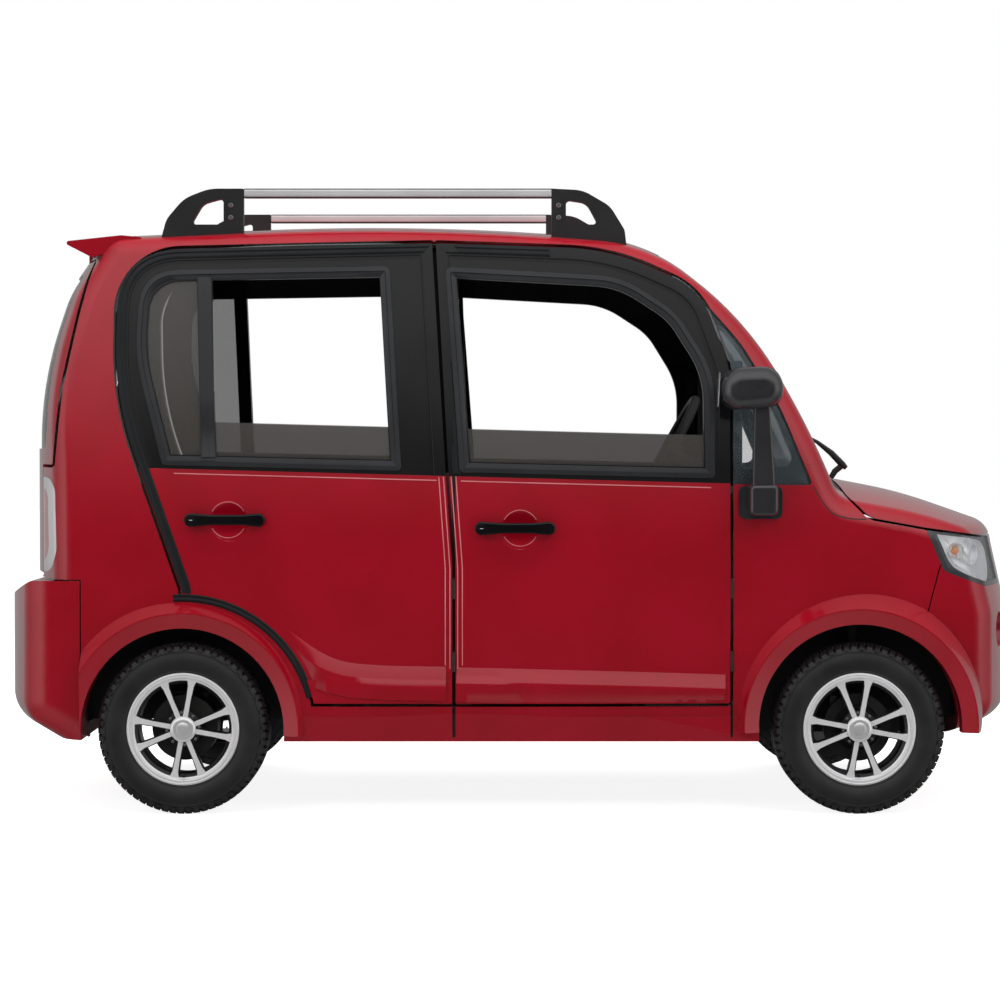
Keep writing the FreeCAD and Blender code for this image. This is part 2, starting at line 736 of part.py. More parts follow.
# Floor with wheel wells, firewall and the two seat risers
tub_x = -560.0
shelf_top = 465.0
floor = block(tub_x, 1240, -560, 560, v.floor_z, v.floor_z + v.wall).common(outer)
rear_shelf = block(-1240, tub_x, -560, 560, shelf_top - v.wall, shelf_top).common(inner)
riser = block(tub_x, tub_x + v.wall, -560, 560, v.floor_z + v.wall, shelf_top)
firewall = block(735, 735 + v.wall, -560, 560, v.floor_z + v.wall, 780).common(inner)
WELL_INNER = 345.0
rear_well = arch_cut(v.rear_axle_x, v.axle_z, v.well_radius, -1000.0, -WELL_INNER)
front_well = arch_cut(front_axle_x, front_arch_z, v.well_radius, -1000.0, -WELL_INNER)
wells = joined(rear_well, mirrored(rear_well), front_well, mirrored(front_well))


def liner(x, z):
    drum = arch_cut(x, z, v.well_radius + 4, -585.0, -WELL_INNER + 4)
    drum = drum.cut(arch_cut(x, z, v.well_radius, -1000.0, -WELL_INNER))
    drum = drum.common(block(x - 400, x + 400, -700, -300, v.floor_z, 700))
    slot = block(x - 48, x + 48, -400, -300, v.floor_z - 10, v.axle_z + 75)
    return drum.common(inner).cut(slot)


floor = joined(floor, rear_shelf.fuse(riser), firewall)
floor = floor.cut(wells)
liner_pair = joined(liner(v.rear_axle_x, v.axle_z), liner(front_axle_x, front_arch_z))
sides_low = [body_side, fender]
floor = without(floor, pieces["rear_bumper"], pieces["front_bumper"], *sides_low)
floor = without(floor, mirrored(body_side), mirrored(fender))
keep("floor_pan", floor)
liner_pair = without(liner_pair, floor, pieces["rear_bumper"], pieces["front_bumper"], *sides_low)
keep("wheel_liners", joined(liner_pair, mirrored(liner_pair)))

# Wheels
rim_profile = [
    (v.rim_radius - 12, -52),
    (v.rim_radius, -52),
    (v.rim_radius, -58),
    (v.rim_radius - 8.5, -58),
    (v.rim_radius - 15, -54),
    (v.rim_radius - 22, -47),
    (v.rim_radius - 24, -25),
    (v.rim_radius - 20, 58),
    (v.rim_radius, 58),
    (v.rim_radius, 52),
    (v.rim_radius - 12, 52),
]
SPOKE_PAIRS = 4
# Half widths of a spoke: distance from the axle, polished face, black body behind it
SPOKE_STATIONS = [
    (33, 6.5, 10),
    (80, 6, 9),
    (v.rim_radius - 28, 7.5, 10.5),
    (v.rim_radius - 9, 13, 15),
]
stub_radius = 11.0
bore = stub_radius + v.seat_gap
cap_radius = 33.0
hub_profile = [(bore, -52), (cap_radius + 2, -52), (47, -50), (50, -22), (bore, -22)]
spoke_room = ring_y(0, 0, [
    (20, -57), (v.rim_radius - 9, -57), (v.rim_radius - 9, -53), (v.rim_radius - 13, -52.5),
    (v.rim_radius - 13, -20), (20, -20),
])


def spoke(column, y0, y1):
    outline = [(-row[column], row[0], 0) for row in SPOKE_STATIONS]
    outline += [(row[column], row[0], 0) for row in reversed(SPOKE_STATIONS)]
    return prism_y(outline, y0, y1).common(spoke_room)


def wheel(x, side, z):
    y = side * v.wheel_y
    rim = ring_y(0, 0, rim_profile)
    hub = ring_y(0, 0, hub_profile)
    hub = hub.fuse(rod((0, -60, 0), (0, -51.99, 0), cap_radius))
    for pair in range(SPOKE_PAIRS):
        for lean in (-v.spoke_spread / 2, v.spoke_spread / 2):
            arm = spoke(1, -56, -49).fuse(spoke(2, -50, -32))
            arm.rotate(Vector(0, 0, 0), Vector(0, 1, 0), pair * 90.0 - 6 + lean)
            hub = hub.fuse(arm)
    rim = rim.fuse(hub)
    if side > 0:
        rim = mirrored(rim)
    rim.translate(Vector(x, y, z))
    return rim


tyre_places = []
for name, x, side in (
    ("front_right", front_axle_x, -1),
    ("front_left", front_axle_x, 1),
    ("rear_right", v.rear_axle_x, -1),
    ("rear_left", v.rear_axle_x, 1),
):
    rim = wheel(x, side, v.axle_z)
    keep("wheel_" + name, rim)
    tyre_places.append(("tyre_" + name, x, side * v.wheel_y))

# Steering knuckles with the front brake discs
kingpin_y = v.wheel_y - v.kingpin_inset
knuckle_low = v.axle_z - 55
hub_end = v.wheel_y + 52 - v.seat_gap
for name, side in (("right", -1), ("left", 1)):
    post = rod((front_axle_x, side * kingpin_y, knuckle_low), (front_axle_x, side * kingpin_y, v.axle_z + 70), 17)
    stub = rod((front_axle_x, side * kingpin_y, v.axle_z), (front_axle_x, side * hub_end, v.axle_z), stub_radius)
    disc = rod(
        (front_axle_x, side * (v.wheel_y - 16), v.axle_z), (front_axle_x, side * (v.wheel_y + 4), v.axle_z), 88
    )
    disc = disc.cut(
        rod((front_axle_x, side * (v.wheel_y - 6), v.axle_z), (front_axle_x, side * (v.wheel_y + 30), v.axle_z), 60)
    )
    keep("knuckle_" + name, joined(post, stub, disc))

well_roof = front_arch_z + v.well_radius
strut_y = v.wheel_y - v.tyre_width / 2 - 52
arm_top = knuckle_low - v.seat_gap
suspension = [block(front_axle_x - 60, front_axle_x + 60, -320, 320, arm_top - 24, v.floor_z)]
for side in (-1, 1):
    arm = block(
        front_axle_x - 18, front_axle_x + 18, min(side * 310, side * (kingpin_y + 12)),
        max(side * 310, side * (kingpin_y + 12)), arm_top - 24, arm_top,
    )
    strut = rod(
        (front_axle_x, side * strut_y, arm_top - 4), (front_axle_x, side * strut_y, well_roof - v.seat_gap - 2), 17
    )
    suspension.append(arm)
    suspension.append(strut)
keep("front_suspension", joined(*suspension))

axle_end = v.wheel_y + 52 - v.seat_gap
axle_parts = [rod((v.rear_axle_x, -(v.wheel_y - 60), v.axle_z), (v.rear_axle_x, v.wheel_y - 60, v.axle_z), 30)]
for side in (-1, 1):
    axle_parts.append(
        rod((v.rear_axle_x, side * (v.wheel_y - 62), v.axle_z), (v.rear_axle_x, side * axle_end, v.axle_z), stub_radius)
    )
    axle_parts.append(
        rod((v.rear_axle_x, side * (v.wheel_y - 68), v.axle_z), (v.rear_axle_x, side * (v.wheel_y + 10), v.axle_z), 85)
    )
    axle_parts.append(
        rod((v.rear_axle_x, side * 300, v.axle_z), (v.rear_axle_x, side * 300, shelf_top - v.wall - v.seat_gap), 26)
    )
keep("rear_axle", joined(*axle_parts))
# Cabin: seats, dashboard, steering wheel
seats = None
for side in (-1, 1):
    y0 = side * v.seat_y - v.seat_width / 2
    y1 = y0 + v.seat_width
    cushion = prism_y(
        [(-110, v.seat_base_z, 20), (-110, v.cushion_top_z - 30, 20), (330, v.cushion_top_z, 45), (345, v.seat_base_z, 30)],
        y0, y1,
    )
    back = prism_y(
        [(-120, v.cushion_top_z - 60, 20), (-215, v.backrest_top_z, 40), (-130, v.backrest_top_z, 40), (-10, v.cushion_top_z - 60, 20)],
        y0, y1,
    )
    seat = cushion.fuse(back)
    seats = seat if seats is None else seats.fuse(seat)
keep("front_seats", seats)
cushion = prism_y(
    [
        (-780, shelf_top + v.seat_gap, 10),
        (-780, v.cushion_top_z, 20),
        (-420, v.cushion_top_z + 15, 45),
        (-400, 345, 30),
        (tub_x + v.wall + v.seat_gap, 345, 10),
        (tub_x + v.wall + v.seat_gap, shelf_top + v.seat_gap, 0),
    ],
    -325, 325,
)
back = prism_y(
    [(-790, 500, 20), (-880, v.backrest_top_z, 40), (-800, v.backrest_top_z, 40), (-680, 500, 20)], -325, 325
)
keep("rear_seat", cushion.fuse(back))
dash = prism_y(
    [(560, 760, 40), (575, 840, 40), (700, 865, 30), (735, 860, 5), (735, 640, 5), (600, 640, 40)], -520, 520
)
wheel_axis = Vector(-math.cos(math.radians(v.steering_tilt)), 0, math.sin(math.radians(v.steering_tilt)))
wheel_centre = Vector(v.steering_x, v.steering_y, v.steering_z)
column_start = wheel_centre - wheel_axis * (34 + v.seat_gap)
column = rod(tuple(column_start), tuple(column_start - wheel_axis * 150), 28)
dash = dash.fuse(column)
keep("dashboard", dash)
grip_section = []
for k in range(10):
    turn = math.radians(36 * k)
    grip_section.append((v.steering_radius + v.steering_grip * math.cos(turn), v.steering_grip * math.sin(turn)))
grip_points = [Vector(r, 0, z) for r, z in grip_section]
grip_face = Part.Face(Part.makePolygon(grip_points + [grip_points[0]]))
rim_ring = grip_face.revolve(Vector(0, 0, 0), Vector(0, 0, 1), 360)
boss = Part.makeCylinder(42, 38, Vector(0, 0, -34))
spokes = block(-16, 16, -v.steering_radius, v.steering_radius, -16, -4)
spokes = spokes.fuse(block(-v.steering_radius, 0, -14, 14, -16, -4))
steer = joined(rim_ring, boss, spokes)
steer.rotate(Vector(0, 0, 0), Vector(0, 1, 0), -(90 - v.steering_tilt))
steer.translate(Vector(v.steering_x, v.steering_y, v.steering_z))
keep("steering_wheel", steer)

# Door mirrors, roof rails, wiper, door handles
def softened(shape, radius, axis, low, high):
    """Shape with the edges that lie wholly between two values on an axis rounded."""
    edges = []
    for edge in shape.Edges:
        box = edge.BoundBox
        start = (box.XMin, box.YMin, box.ZMin)[axis]
        end = (box.XMax, box.YMax, box.ZMax)[axis]
        if start >= low and end <= high:
            edges.append(edge)
    return shape.makeFillet(radius, edges)


MIRROR_HEAD = [(534, 1042, 50), (540, 1152, 54), (690, 1158, 54), (699, 1056, 48)]
STEM = [(622, 1056, 6), (662, 1056, 6), (676, 842, 12), (618, 842, 12)]
MIRROR_FOOT = [(612, 856, 14), (684, 856, 14), (684, 776, 14), (612, 776, 14)]
MIRROR_PLATE = [(590, 849, 18), (700, 849, 18), (700, 767, 18), (590, 767, 18)]
head = softened(prism_y(MIRROR_HEAD, -735, -640), 34.0, 1, -736, -734)
stem = softened(prism_y(STEM, -690, -652), 5.0, 1, -691, -689)
foot = softened(prism_y(MIRROR_FOOT, -694, -604), 10.0, 1, -695, -693)
plate = prism_y(MIRROR_PLATE, -614, -560).cut(outer)
mirror = joined(head, stem, foot.cut(outer), plate)
mirror = mirror.cut(fender)
keep("mirrors", mirror.fuse(mirrored(mirror)))

rails = None
RAIL_REAR = [
    (-700, 1490, 4), (-918, 1490, 4), (-902, 1548, 60), (-856, 1602, 90), (-790, v.rail_z, 120), (-700, v.rail_z, 2)
]
RAIL_REAR_GAP = [(-838, 1534, 8), (-806, 1588, 34), (-752, 1603, 10), (-752, 1534, 8)]
RAIL_FRONT = [(108, v.rail_z, 2), (190, v.rail_z - 4, 90), (262, 1582, 70), (300, 1520, 30), (306, 1470, 4), (108, 1490, 4)]
RAIL_FRONT_GAP = [(146, 1534, 8), (146, 1598, 10), (200, 1590, 34), (230, 1534, 8)]
for side in (-1, 1):
    y0 = side * v.rail_y - v.rail_width / 2
    y1 = y0 + v.rail_width
    bar = prism_y([(-700, v.rail_z - 24, 4), (-700, v.rail_z, 4), (120, v.rail_z, 4), (120, v.rail_z - 24, 4)], y0, y1)
    rear_foot = prism_y(RAIL_REAR, y0, y1).cut(prism_y(RAIL_REAR_GAP, -1000, 1000))
    front_foot = prism_y(RAIL_FRONT, y0, y1).cut(prism_y(RAIL_FRONT_GAP, -1000, 1000))
    rail = joined(bar, rear_foot, front_foot)
    rails = rail if rails is None else rails.fuse(rail)
keep("roof_rails", rails.cut(outer))

pivot = rod((838, -250, 860), (838, -250, 912), 8)
wiper_arm = rod((838, -250, 908), (806, 330, 985), 5)
wiper = pivot.fuse(wiper_arm).cut(body_form(0.0)).cut(pieces["cowl"])
keep("wiper", wiper)

# Door handles, each over a round finger cup in its door
HANDLES = [
    # name, rear end, front end, height, middle of the cup
    ("door_rear", -840, -631, 763, -729),
    ("door_front", -92, 116, 742, 25),
]
for name, x0, x1, z, cup_x in HANDLES:
    skin_y = side_at(cup_x, z)
    cup_ball = (v.cup_radius ** 2 + v.cup_depth ** 2) / (2 * v.cup_depth)
    ball = Part.makeSphere(cup_ball, Vector(cup_x, skin_y + v.cup_depth - cup_ball, z - 3))
    keep(name + "_panel", pieces[name + "_panel"].cut(ball))
    half = v.handle_height / 2
    corners = [
        (x0, z - half, half - 2),
        (x0, z + half, half - 2),
        (x0 + 70, z + half - 5, 90),
        (x1 - 60, z + half - 5, 90),
        (x1, z + half, half - 2),
        (x1, z - half, half - 2),
        (x1 - 60, z - half + 6, 90),
        (x0 + 70, z - half + 6, 90),
    ]
    grip_y = skin_y - v.handle_reach
    bar = softened(prism_y(corners, grip_y, grip_y + v.handle_depth), 5.0, 1, grip_y - 1, grip_y + 1)
    feet = joined(
        block(x0 + 12, x0 + 52, grip_y + 5, -575, z - 11, z + 11), block(x1 - 30, x1 - 10, grip_y + 5, -575, z - 11, z + 11)
    )
    keep(name + "_handle", bar.fuse(feet.cut(outer)))

# Every piece becomes one object with its own name
names = []
for name, shape in pieces.items():
    if name.startswith("door_"):
        names.append((name + "_right", shape))
        names.append((name + "_left", mirrored(shape)))
    elif name in ("body_side_right", "fender_right"):
        names.append((name, shape))
        names.append((name.replace("right", "left"), mirrored(shape)))
    else:
        names.append((name, shape))
objects = []
for name, shape in names:
    feature = doc.addObject("Part::Feature", name)
    feature.Label = name
    feature.Shape = shape
    objects.append(feature)


def bound(name, kind, **sizes):
    """Basic solid whose sizes and place follow the sheet."""
    item = doc.addObject(kind, name)
    item.Label = name
    for key, text in sizes.items():
        path = "Placement.Base." + key if key in ("x", "y", "z") else key
        item.setExpression(path, text)
    return item


battery = bound(
    "battery_pack", "Part::Box",
    Length="Sizes.battery_length", Width="Sizes.battery_width",
    Height="Sizes.seat_base_z - Sizes.seat_gap - Sizes.floor_z - Sizes.wall",
    x="Sizes.battery_x", y="-Sizes.battery_width / 2", z="Sizes.floor_z + Sizes.wall",
)
objects.append(battery)
drum = bound(
    "motor_drum", "Part::Cylinder",
    Radius="Sizes.motor_radius", Height="Sizes.motor_length",
    x="Sizes.rear_axle_x + Sizes.motor_ahead", y="Sizes.motor_length / 2", z="Sizes.motor_z",
)
drum.Placement.Rotation = Rotation(Vector(1, 0, 0), 90)
gear_case = bound(
    "gear_case", "Part::Box",
    Length="Sizes.gear_length", Width="Sizes.gear_width", Height="Sizes.gear_height",
    x="Sizes.rear_axle_x + 30 + Sizes.seat_gap", y="60", z="Sizes.axle_z - 20",
)
motor = doc.addObject("Part::MultiFuse", "drive_motor")
motor.Label = "drive_motor"
motor.Shapes = [drum, gear_case]
objects.append(motor)

# Tyre section from its inner edge outwards: distance from the axle, distance across from one side
TYRE_SECTION = [
    ("Sizes.rim_radius - 12 + Sizes.seat_gap", "16 + Sizes.seat_gap", 128.3, 16.3),
    ("Sizes.rim_radius + Sizes.seat_gap", "16 + Sizes.seat_gap", 140.3, 16.3),
    ("Sizes.rim_radius + 6", "7.5", 146.0, 7.5),
    ("Sizes.tyre_radius - 42", "0.5", 179.5, 0.5),
    ("Sizes.tyre_radius - 12", "5.5", 209.5, 5.5),
    ("Sizes.tyre_radius", "21.5", 221.5, 21.5),
    ("Sizes.tyre_radius", "Sizes.tyre_width - 20.5", 221.5, 114.5),
    ("Sizes.tyre_radius - 12", "Sizes.tyre_width - 4.5", 209.5, 130.5),
    ("Sizes.tyre_radius - 42", "Sizes.tyre_width + 0.5", 179.5, 135.5),
    ("Sizes.rim_radius + 6", "Sizes.tyre_width - 6.5", 146.0, 128.5),
    ("Sizes.rim_radius + Sizes.seat_gap", "Sizes.tyre_width - 15 - Sizes.seat_gap", 140.3, 119.7),
    ("Sizes.rim_radius - 12 + Sizes.seat_gap", "Sizes.tyre_width - 15 - Sizes.seat_gap", 128.3, 119.7),
]
for name, x, y in tyre_places:
    body = doc.addObject("PartDesign::Body", name)
    body.Label = name
    sketch = body.newObject("Sketcher::SketchObject", name + "_section")
    count = len(TYRE_SECTION)
    for i in range(count):
        a, b = TYRE_SECTION[i], TYRE_SECTION[(i + 1) % count]
        sketch.addGeometry(Part.LineSegment(Vector(a[2], a[3], 0), Vector(b[2], b[3], 0)), False)
    for i in range(count):
        sketch.addConstraint(Sketcher.Constraint("Coincident", i, 2, (i + 1) % count, 1))
    for i in range(count):
        out, across = TYRE_SECTION[i][:2]
        number = sketch.addConstraint(Sketcher.Constraint("DistanceX", -1, 1, i, 1, TYRE_SECTION[i][2]))
        sketch.setExpression("Constraints[%d]" % number, out)
        number = sketch.addConstraint(Sketcher.Constraint("DistanceY", -1, 1, i, 1, TYRE_SECTION[i][3]))
        sketch.setExpression("Constraints[%d]" % number, across)
    turned = body.newObject("PartDesign::Revolution", name + "_turned")
    turned.Profile = sketch
    turned.ReferenceAxis = (sketch, ["V_Axis"])
    turned.Angle = 360.0
    body.Tip = turned
    body.Placement = Placement(Vector(x, y - v.tyre_width / 2 - 0.5, v.axle_z), Rotation())
    objects.append(body)
doc.recompute()
for item in doc.Objects:
    if "Invalid" in item.State or "Error" in item.State:
        raise RuntimeError("object %s is %s" % (item.Name, item.State))
for feature in objects:
    if feature.Shape.isNull() or not feature.Shape.isValid():
        raise RuntimeError("shape of %s is not valid" % feature.Name)
    feature.Shape.exportStep("parts/%s.step" % feature.Label)
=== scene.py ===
import math

import bmesh
import bpy
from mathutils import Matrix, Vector
from mathutils.bvhtree import BVHTree


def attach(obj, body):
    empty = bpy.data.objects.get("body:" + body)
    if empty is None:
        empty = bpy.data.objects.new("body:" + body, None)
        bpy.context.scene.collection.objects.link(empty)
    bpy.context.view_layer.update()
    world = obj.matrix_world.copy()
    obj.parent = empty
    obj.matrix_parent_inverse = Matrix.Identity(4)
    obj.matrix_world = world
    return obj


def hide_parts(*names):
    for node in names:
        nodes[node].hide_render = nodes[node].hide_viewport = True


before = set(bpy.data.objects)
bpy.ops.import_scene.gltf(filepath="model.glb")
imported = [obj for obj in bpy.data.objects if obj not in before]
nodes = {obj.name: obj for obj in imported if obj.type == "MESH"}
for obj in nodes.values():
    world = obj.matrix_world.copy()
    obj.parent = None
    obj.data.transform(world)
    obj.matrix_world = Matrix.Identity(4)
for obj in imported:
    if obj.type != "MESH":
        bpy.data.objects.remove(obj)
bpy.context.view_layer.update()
scene = bpy.context.scene
SIDES = (("right", 1.0), ("left", -1.0))


# Shader nodes

def settle(node, values):
    """Sets the inputs of a node that values names."""
    for name, value in values.items():
        node.inputs[name].default_value = value


def add(tree, kind, values=None):
    """A node of one kind with some of its inputs set."""
    node = tree.nodes.new("ShaderNode" + kind)
    settle(node, values or {})
    return node


def maths(tree, operation, first, second=None):
    """Socket of a maths node on two sockets or numbers."""
    node = add(tree, "Math")
    node.operation = operation
    for socket, value in zip(node.inputs, (first, second)):
        if isinstance(value, (int, float)):
            socket.default_value = value
        elif value is not None:
            tree.links.new(value, socket)
    return node.outputs[0]


def ranged(tree, value, limits, new_limits, smooth=False):
    """Socket of a value carried over from one pair of limits to another."""
    node = add(tree, "MapRange", {"From Min": limits[0], "From Max": limits[1],
                                  "To Min": new_limits[0], "To Max": new_limits[1]})
    if smooth:
        node.interpolation_type = "SMOOTHSTEP"
    tree.links.new(value, node.inputs["Value"])
    return node.outputs["Result"]


def split(tree, socket):
    """The X, Y and Z sockets of a vector."""
    node = add(tree, "SeparateXYZ")
    tree.links.new(socket, node.inputs[0])
    return node.outputs


def blend(tree, share, first, second):
    """Mix of two shader nodes by a socket: 0 is the first, 1 the second."""
    node = add(tree, "MixShader")
    tree.links.new(share, node.inputs["Fac"])
    tree.links.new(first.outputs[0], node.inputs[1])
    tree.links.new(second.outputs[0], node.inputs[2])
    return node


# Materials

def node_material(name):
    mat = bpy.data.materials.new(name)
    mat.use_nodes = True
    tree = mat.node_tree
    return mat, tree, tree.nodes["Principled BSDF"]


def grain(tree, shader, scale, strength, distance):
    """Fine relief from a noise on the object's own coordinates."""
    coords = add(tree, "TexCoord")
    noise = add(tree, "TexNoise", {"Scale": scale, "Detail": 4.0})
    bump = add(tree, "Bump", {"Strength": strength, "Distance": distance})
    tree.links.new(coords.outputs["Object"], noise.inputs["Vector"])
    tree.links.new(noise.outputs["Fac"], bump.inputs["Height"])
    tree.links.new(bump.outputs["Normal"], shader.inputs["Normal"])
    return coords


def tint(tree, shader, coords, dark, light, scale):
    """Base colour that drifts between two tones."""
    noise = add(tree, "TexNoise", {"Scale": scale, "Detail": 3.0})
    ramp = add(tree, "ValToRGB")
    for stop, position, colour in zip(ramp.color_ramp.elements, (0.35, 0.65), (dark, light)):
        stop.position = position
        stop.color = (*colour, 1)
    tree.links.new(coords.outputs["Object"], noise.inputs["Vector"])
    tree.links.new(noise.outputs["Fac"], ramp.inputs["Fac"])
    tree.links.new(ramp.outputs["Color"], shader.inputs["Base Color"])


def make_surface(name, dark, light, rough, relief, spread=6.0, metal=0.0, coat=0.0, coat_rough=0.03,
                 specular=0.5):
    """Opaque material; relief is its grain's scale, strength and distance."""
    mat, tree, shader = node_material(name)
    coords = grain(tree, shader, *relief)
    tint(tree, shader, coords, dark, light, spread)
    settle(shader, {"Roughness": rough, "Metallic": metal, "Coat Weight": coat, "Coat Roughness": coat_rough,
                    "Specular IOR Level": specular})
    return mat


def soften_edges(mat, radius):
    """Edges catch light as if rounded: the relief starts from a normal that bends over the radius."""
    tree = mat.node_tree
    bevel = add(tree, "Bevel", {"Radius": radius})
    bevel.samples = 4
    relief = next(node for node in tree.nodes if node.bl_idname == "ShaderNodeBump")
    tree.links.new(bevel.outputs["Normal"], relief.inputs["Normal"])


def make_glass(name, colour, facing, edge=0.85):
    """Clear pane, as opaque as facing seen straight and as edge at a grazing angle."""
    mat, tree, shader = node_material(name)
    grain(tree, shader, 3.0, 0.01, 0.0002)
    settle(shader, {"Base Color": (*colour, 1), "Roughness": 0.02, "Specular IOR Level": 0.8})
    fresnel = add(tree, "LayerWeight", {"Blend": 0.25})
    alpha = ranged(tree, fresnel.outputs["Fresnel"], (0.0, 1.0), (facing, edge))
    tree.links.new(alpha, shader.inputs["Alpha"])
    return mat


def make_fabric(name, dark, light, scale):
    """Woven cloth: two crossed bands under a soft drift of tone."""
    mat, tree, shader = node_material(name)
    coords = add(tree, "TexCoord")
    waves = []
    for direction in ("X", "Z"):
        wave = add(tree, "TexWave", {"Scale": scale, "Distortion": 0.6})
        wave.bands_direction = direction
        tree.links.new(coords.outputs["Object"], wave.inputs["Vector"])
        waves.append(wave.outputs["Fac"])
    bump = add(tree, "Bump", {"Strength": 0.12, "Distance": 0.0004})
    tree.links.new(maths(tree, "MULTIPLY", *waves), bump.inputs["Height"])
    tree.links.new(bump.outputs["Normal"], shader.inputs["Normal"])
    tint(tree, shader, coords, dark, light, 9.0)
    settle(shader, {"Roughness": 0.85, "Sheen Weight": 0.3})
    return mat


red_paint = make_surface("red_paint", (0.36, 0.0, 0.010), (0.41, 0.0, 0.014), 0.3,
                         (900.0, 0.03, 0.00005), spread=5.0, coat=1.0, specular=0.2)
soften_edges(red_paint, 0.0035)
# Lighter red of the beads along the doors and round the finger cups: painted highlight where the paint bends
highlight_paint = make_surface("edge_paint", (0.70, 0.20, 0.22), (0.80, 0.28, 0.30), 0.35,
                          (900.0, 0.03, 0.00005), coat=0.6)
black_gloss = make_surface("black_gloss", (0.004, 0.004, 0.005), (0.007, 0.007, 0.008), 0.16,
                           (600.0, 0.02, 0.00005), coat=0.3, coat_rough=0.04, specular=0.2)
black_plastic = make_surface("black_plastic", (0.012, 0.012, 0.013), (0.02, 0.02, 0.021), 0.48,
                             (1400.0, 0.25, 0.0002))
rubber = make_surface("rubber_seal", (0.006, 0.007, 0.008), (0.010, 0.011, 0.012), 0.5,
                      (900.0, 0.2, 0.0002), specular=0.3)
grey_trim = make_surface("grey_trim", (0.018, 0.019, 0.021), (0.026, 0.027, 0.03), 0.34,
                         (1100.0, 0.12, 0.00015), specular=0.4)
mirror_grey = make_surface("mirror_grey", (0.024, 0.023, 0.026), (0.034, 0.032, 0.036), 0.22,
                           (900.0, 0.08, 0.0001), coat=0.8, coat_rough=0.08)
chrome = make_surface("chrome", (0.84, 0.84, 0.85), (0.90, 0.90, 0.91), 0.1,
                      (300.0, 0.01, 0.00005), metal=0.5, coat=0.5)
rail_metal = make_surface("rail_metal", (0.66, 0.65, 0.66), (0.76, 0.75, 0.76), 0.32,
                          (700.0, 0.08, 0.0001), metal=0.35)
rail_coat = make_surface("rail_coat", (0.012, 0.012, 0.013), (0.02, 0.02, 0.021), 0.4,
                         (1200.0, 0.2, 0.0002))
steel_dark = make_surface("steel_dark", (0.02, 0.02, 0.021), (0.04, 0.038, 0.036), 0.5,
                          (260.0, 0.35, 0.0006), metal=0.4)
disc_steel = make_surface("disc_steel", (0.28, 0.27, 0.27), (0.4, 0.39, 0.38), 0.33,
                          (500.0, 0.2, 0.0002), metal=1.0)
tyre_rubber = make_surface("tyre_rubber", (0.009, 0.009, 0.010), (0.017, 0.017, 0.018), 0.5,
                           (500.0, 0.3, 0.0004), spread=14.0)
wheel_metal = make_surface("wheel_metal", (0.008, 0.008, 0.009), (0.014, 0.014, 0.015), 0.3,
                           (700.0, 0.1, 0.0002), coat=0.3)
rim_bright = make_surface("rim_bright", (0.80, 0.80, 0.81), (0.88, 0.88, 0.89), 0.28,
                          (500.0, 0.05, 0.0001), metal=0.25)
case_grey = make_surface("case_grey", (0.14, 0.14, 0.15), (0.2, 0.2, 0.21), 0.45,
                         (300.0, 0.3, 0.0005), metal=0.5)
lamp_chrome = make_surface("lamp_chrome", (0.84, 0.84, 0.85), (0.92, 0.92, 0.93), 0.2,
                           (300.0, 0.01, 0.00005), metal=0.1, coat=1.0)
mirror_edge = make_surface("mirror_edge", (0.012, 0.030, 0.034), (0.018, 0.042, 0.046), 0.2,
                           (900.0, 0.05, 0.0001), coat=0.5)
lamp_red = make_surface("lamp_red", (0.62, 0.006, 0.008), (0.74, 0.02, 0.016), 0.12,
                        (160.0, 0.06, 0.0005), coat=1.0)
amber = make_surface("lamp_amber", (0.75, 0.16, 0.01), (0.85, 0.24, 0.02), 0.15,
                     (200.0, 0.2, 0.0008), coat=1.0)
reflector = make_surface("reflector", (0.80, 0.81, 0.83), (0.90, 0.91, 0.92), 0.15,
                         (60.0, 0.15, 0.001), metal=0.4)
dark_bezel = make_surface("lamp_bezel", (0.03, 0.03, 0.034), (0.05, 0.05, 0.055), 0.25,
                          (500.0, 0.05, 0.0001), coat=0.4)
seat_cloth = make_fabric("seat_cloth", (0.055, 0.05, 0.048), (0.085, 0.078, 0.072), 620.0)
glass = make_glass("window_glass", (0.075, 0.066, 0.058), 0.58)
screen_glass = make_glass("screen_glass", (0.25, 0.32, 0.36), 0.16)
lens = make_glass("lamp_lens", (0.62, 0.65, 0.68), 0.08, 0.30)
fog_lens = make_glass("fog_lens", (0.35, 0.37, 0.4), 0.25, 0.5)


# Second looks of faces

def place_of(tree):
    """X, Y and Z of the place on the object at rest."""
    return split(tree, add(tree, "TexCoord").outputs["Object"])


def facing_of(tree):
    """X, Y and Z of the face's own direction on the object at rest."""
    turn = add(tree, "VectorTransform")
    turn.vector_type = "NORMAL"
    turn.convert_from = "WORLD"
    turn.convert_to = "OBJECT"
    tree.links.new(add(tree, "NewGeometry").outputs["True Normal"], turn.inputs[0])
    return split(tree, turn.outputs[0])


def both(tree, first, second):
    return maths(tree, "MULTIPLY", first, second)


def outboard(tree, beyond=0.5995, steep=0.6):
    """1 on faces that look away from the middle plane and lie further out than beyond."""
    far = maths(tree, "GREATER_THAN", maths(tree, "ABSOLUTE", place_of(tree)["Y"]), beyond)
    flat = maths(tree, "GREATER_THAN", maths(tree, "ABSOLUTE", facing_of(tree)["Y"]), steep)
    return both(tree, far, flat)


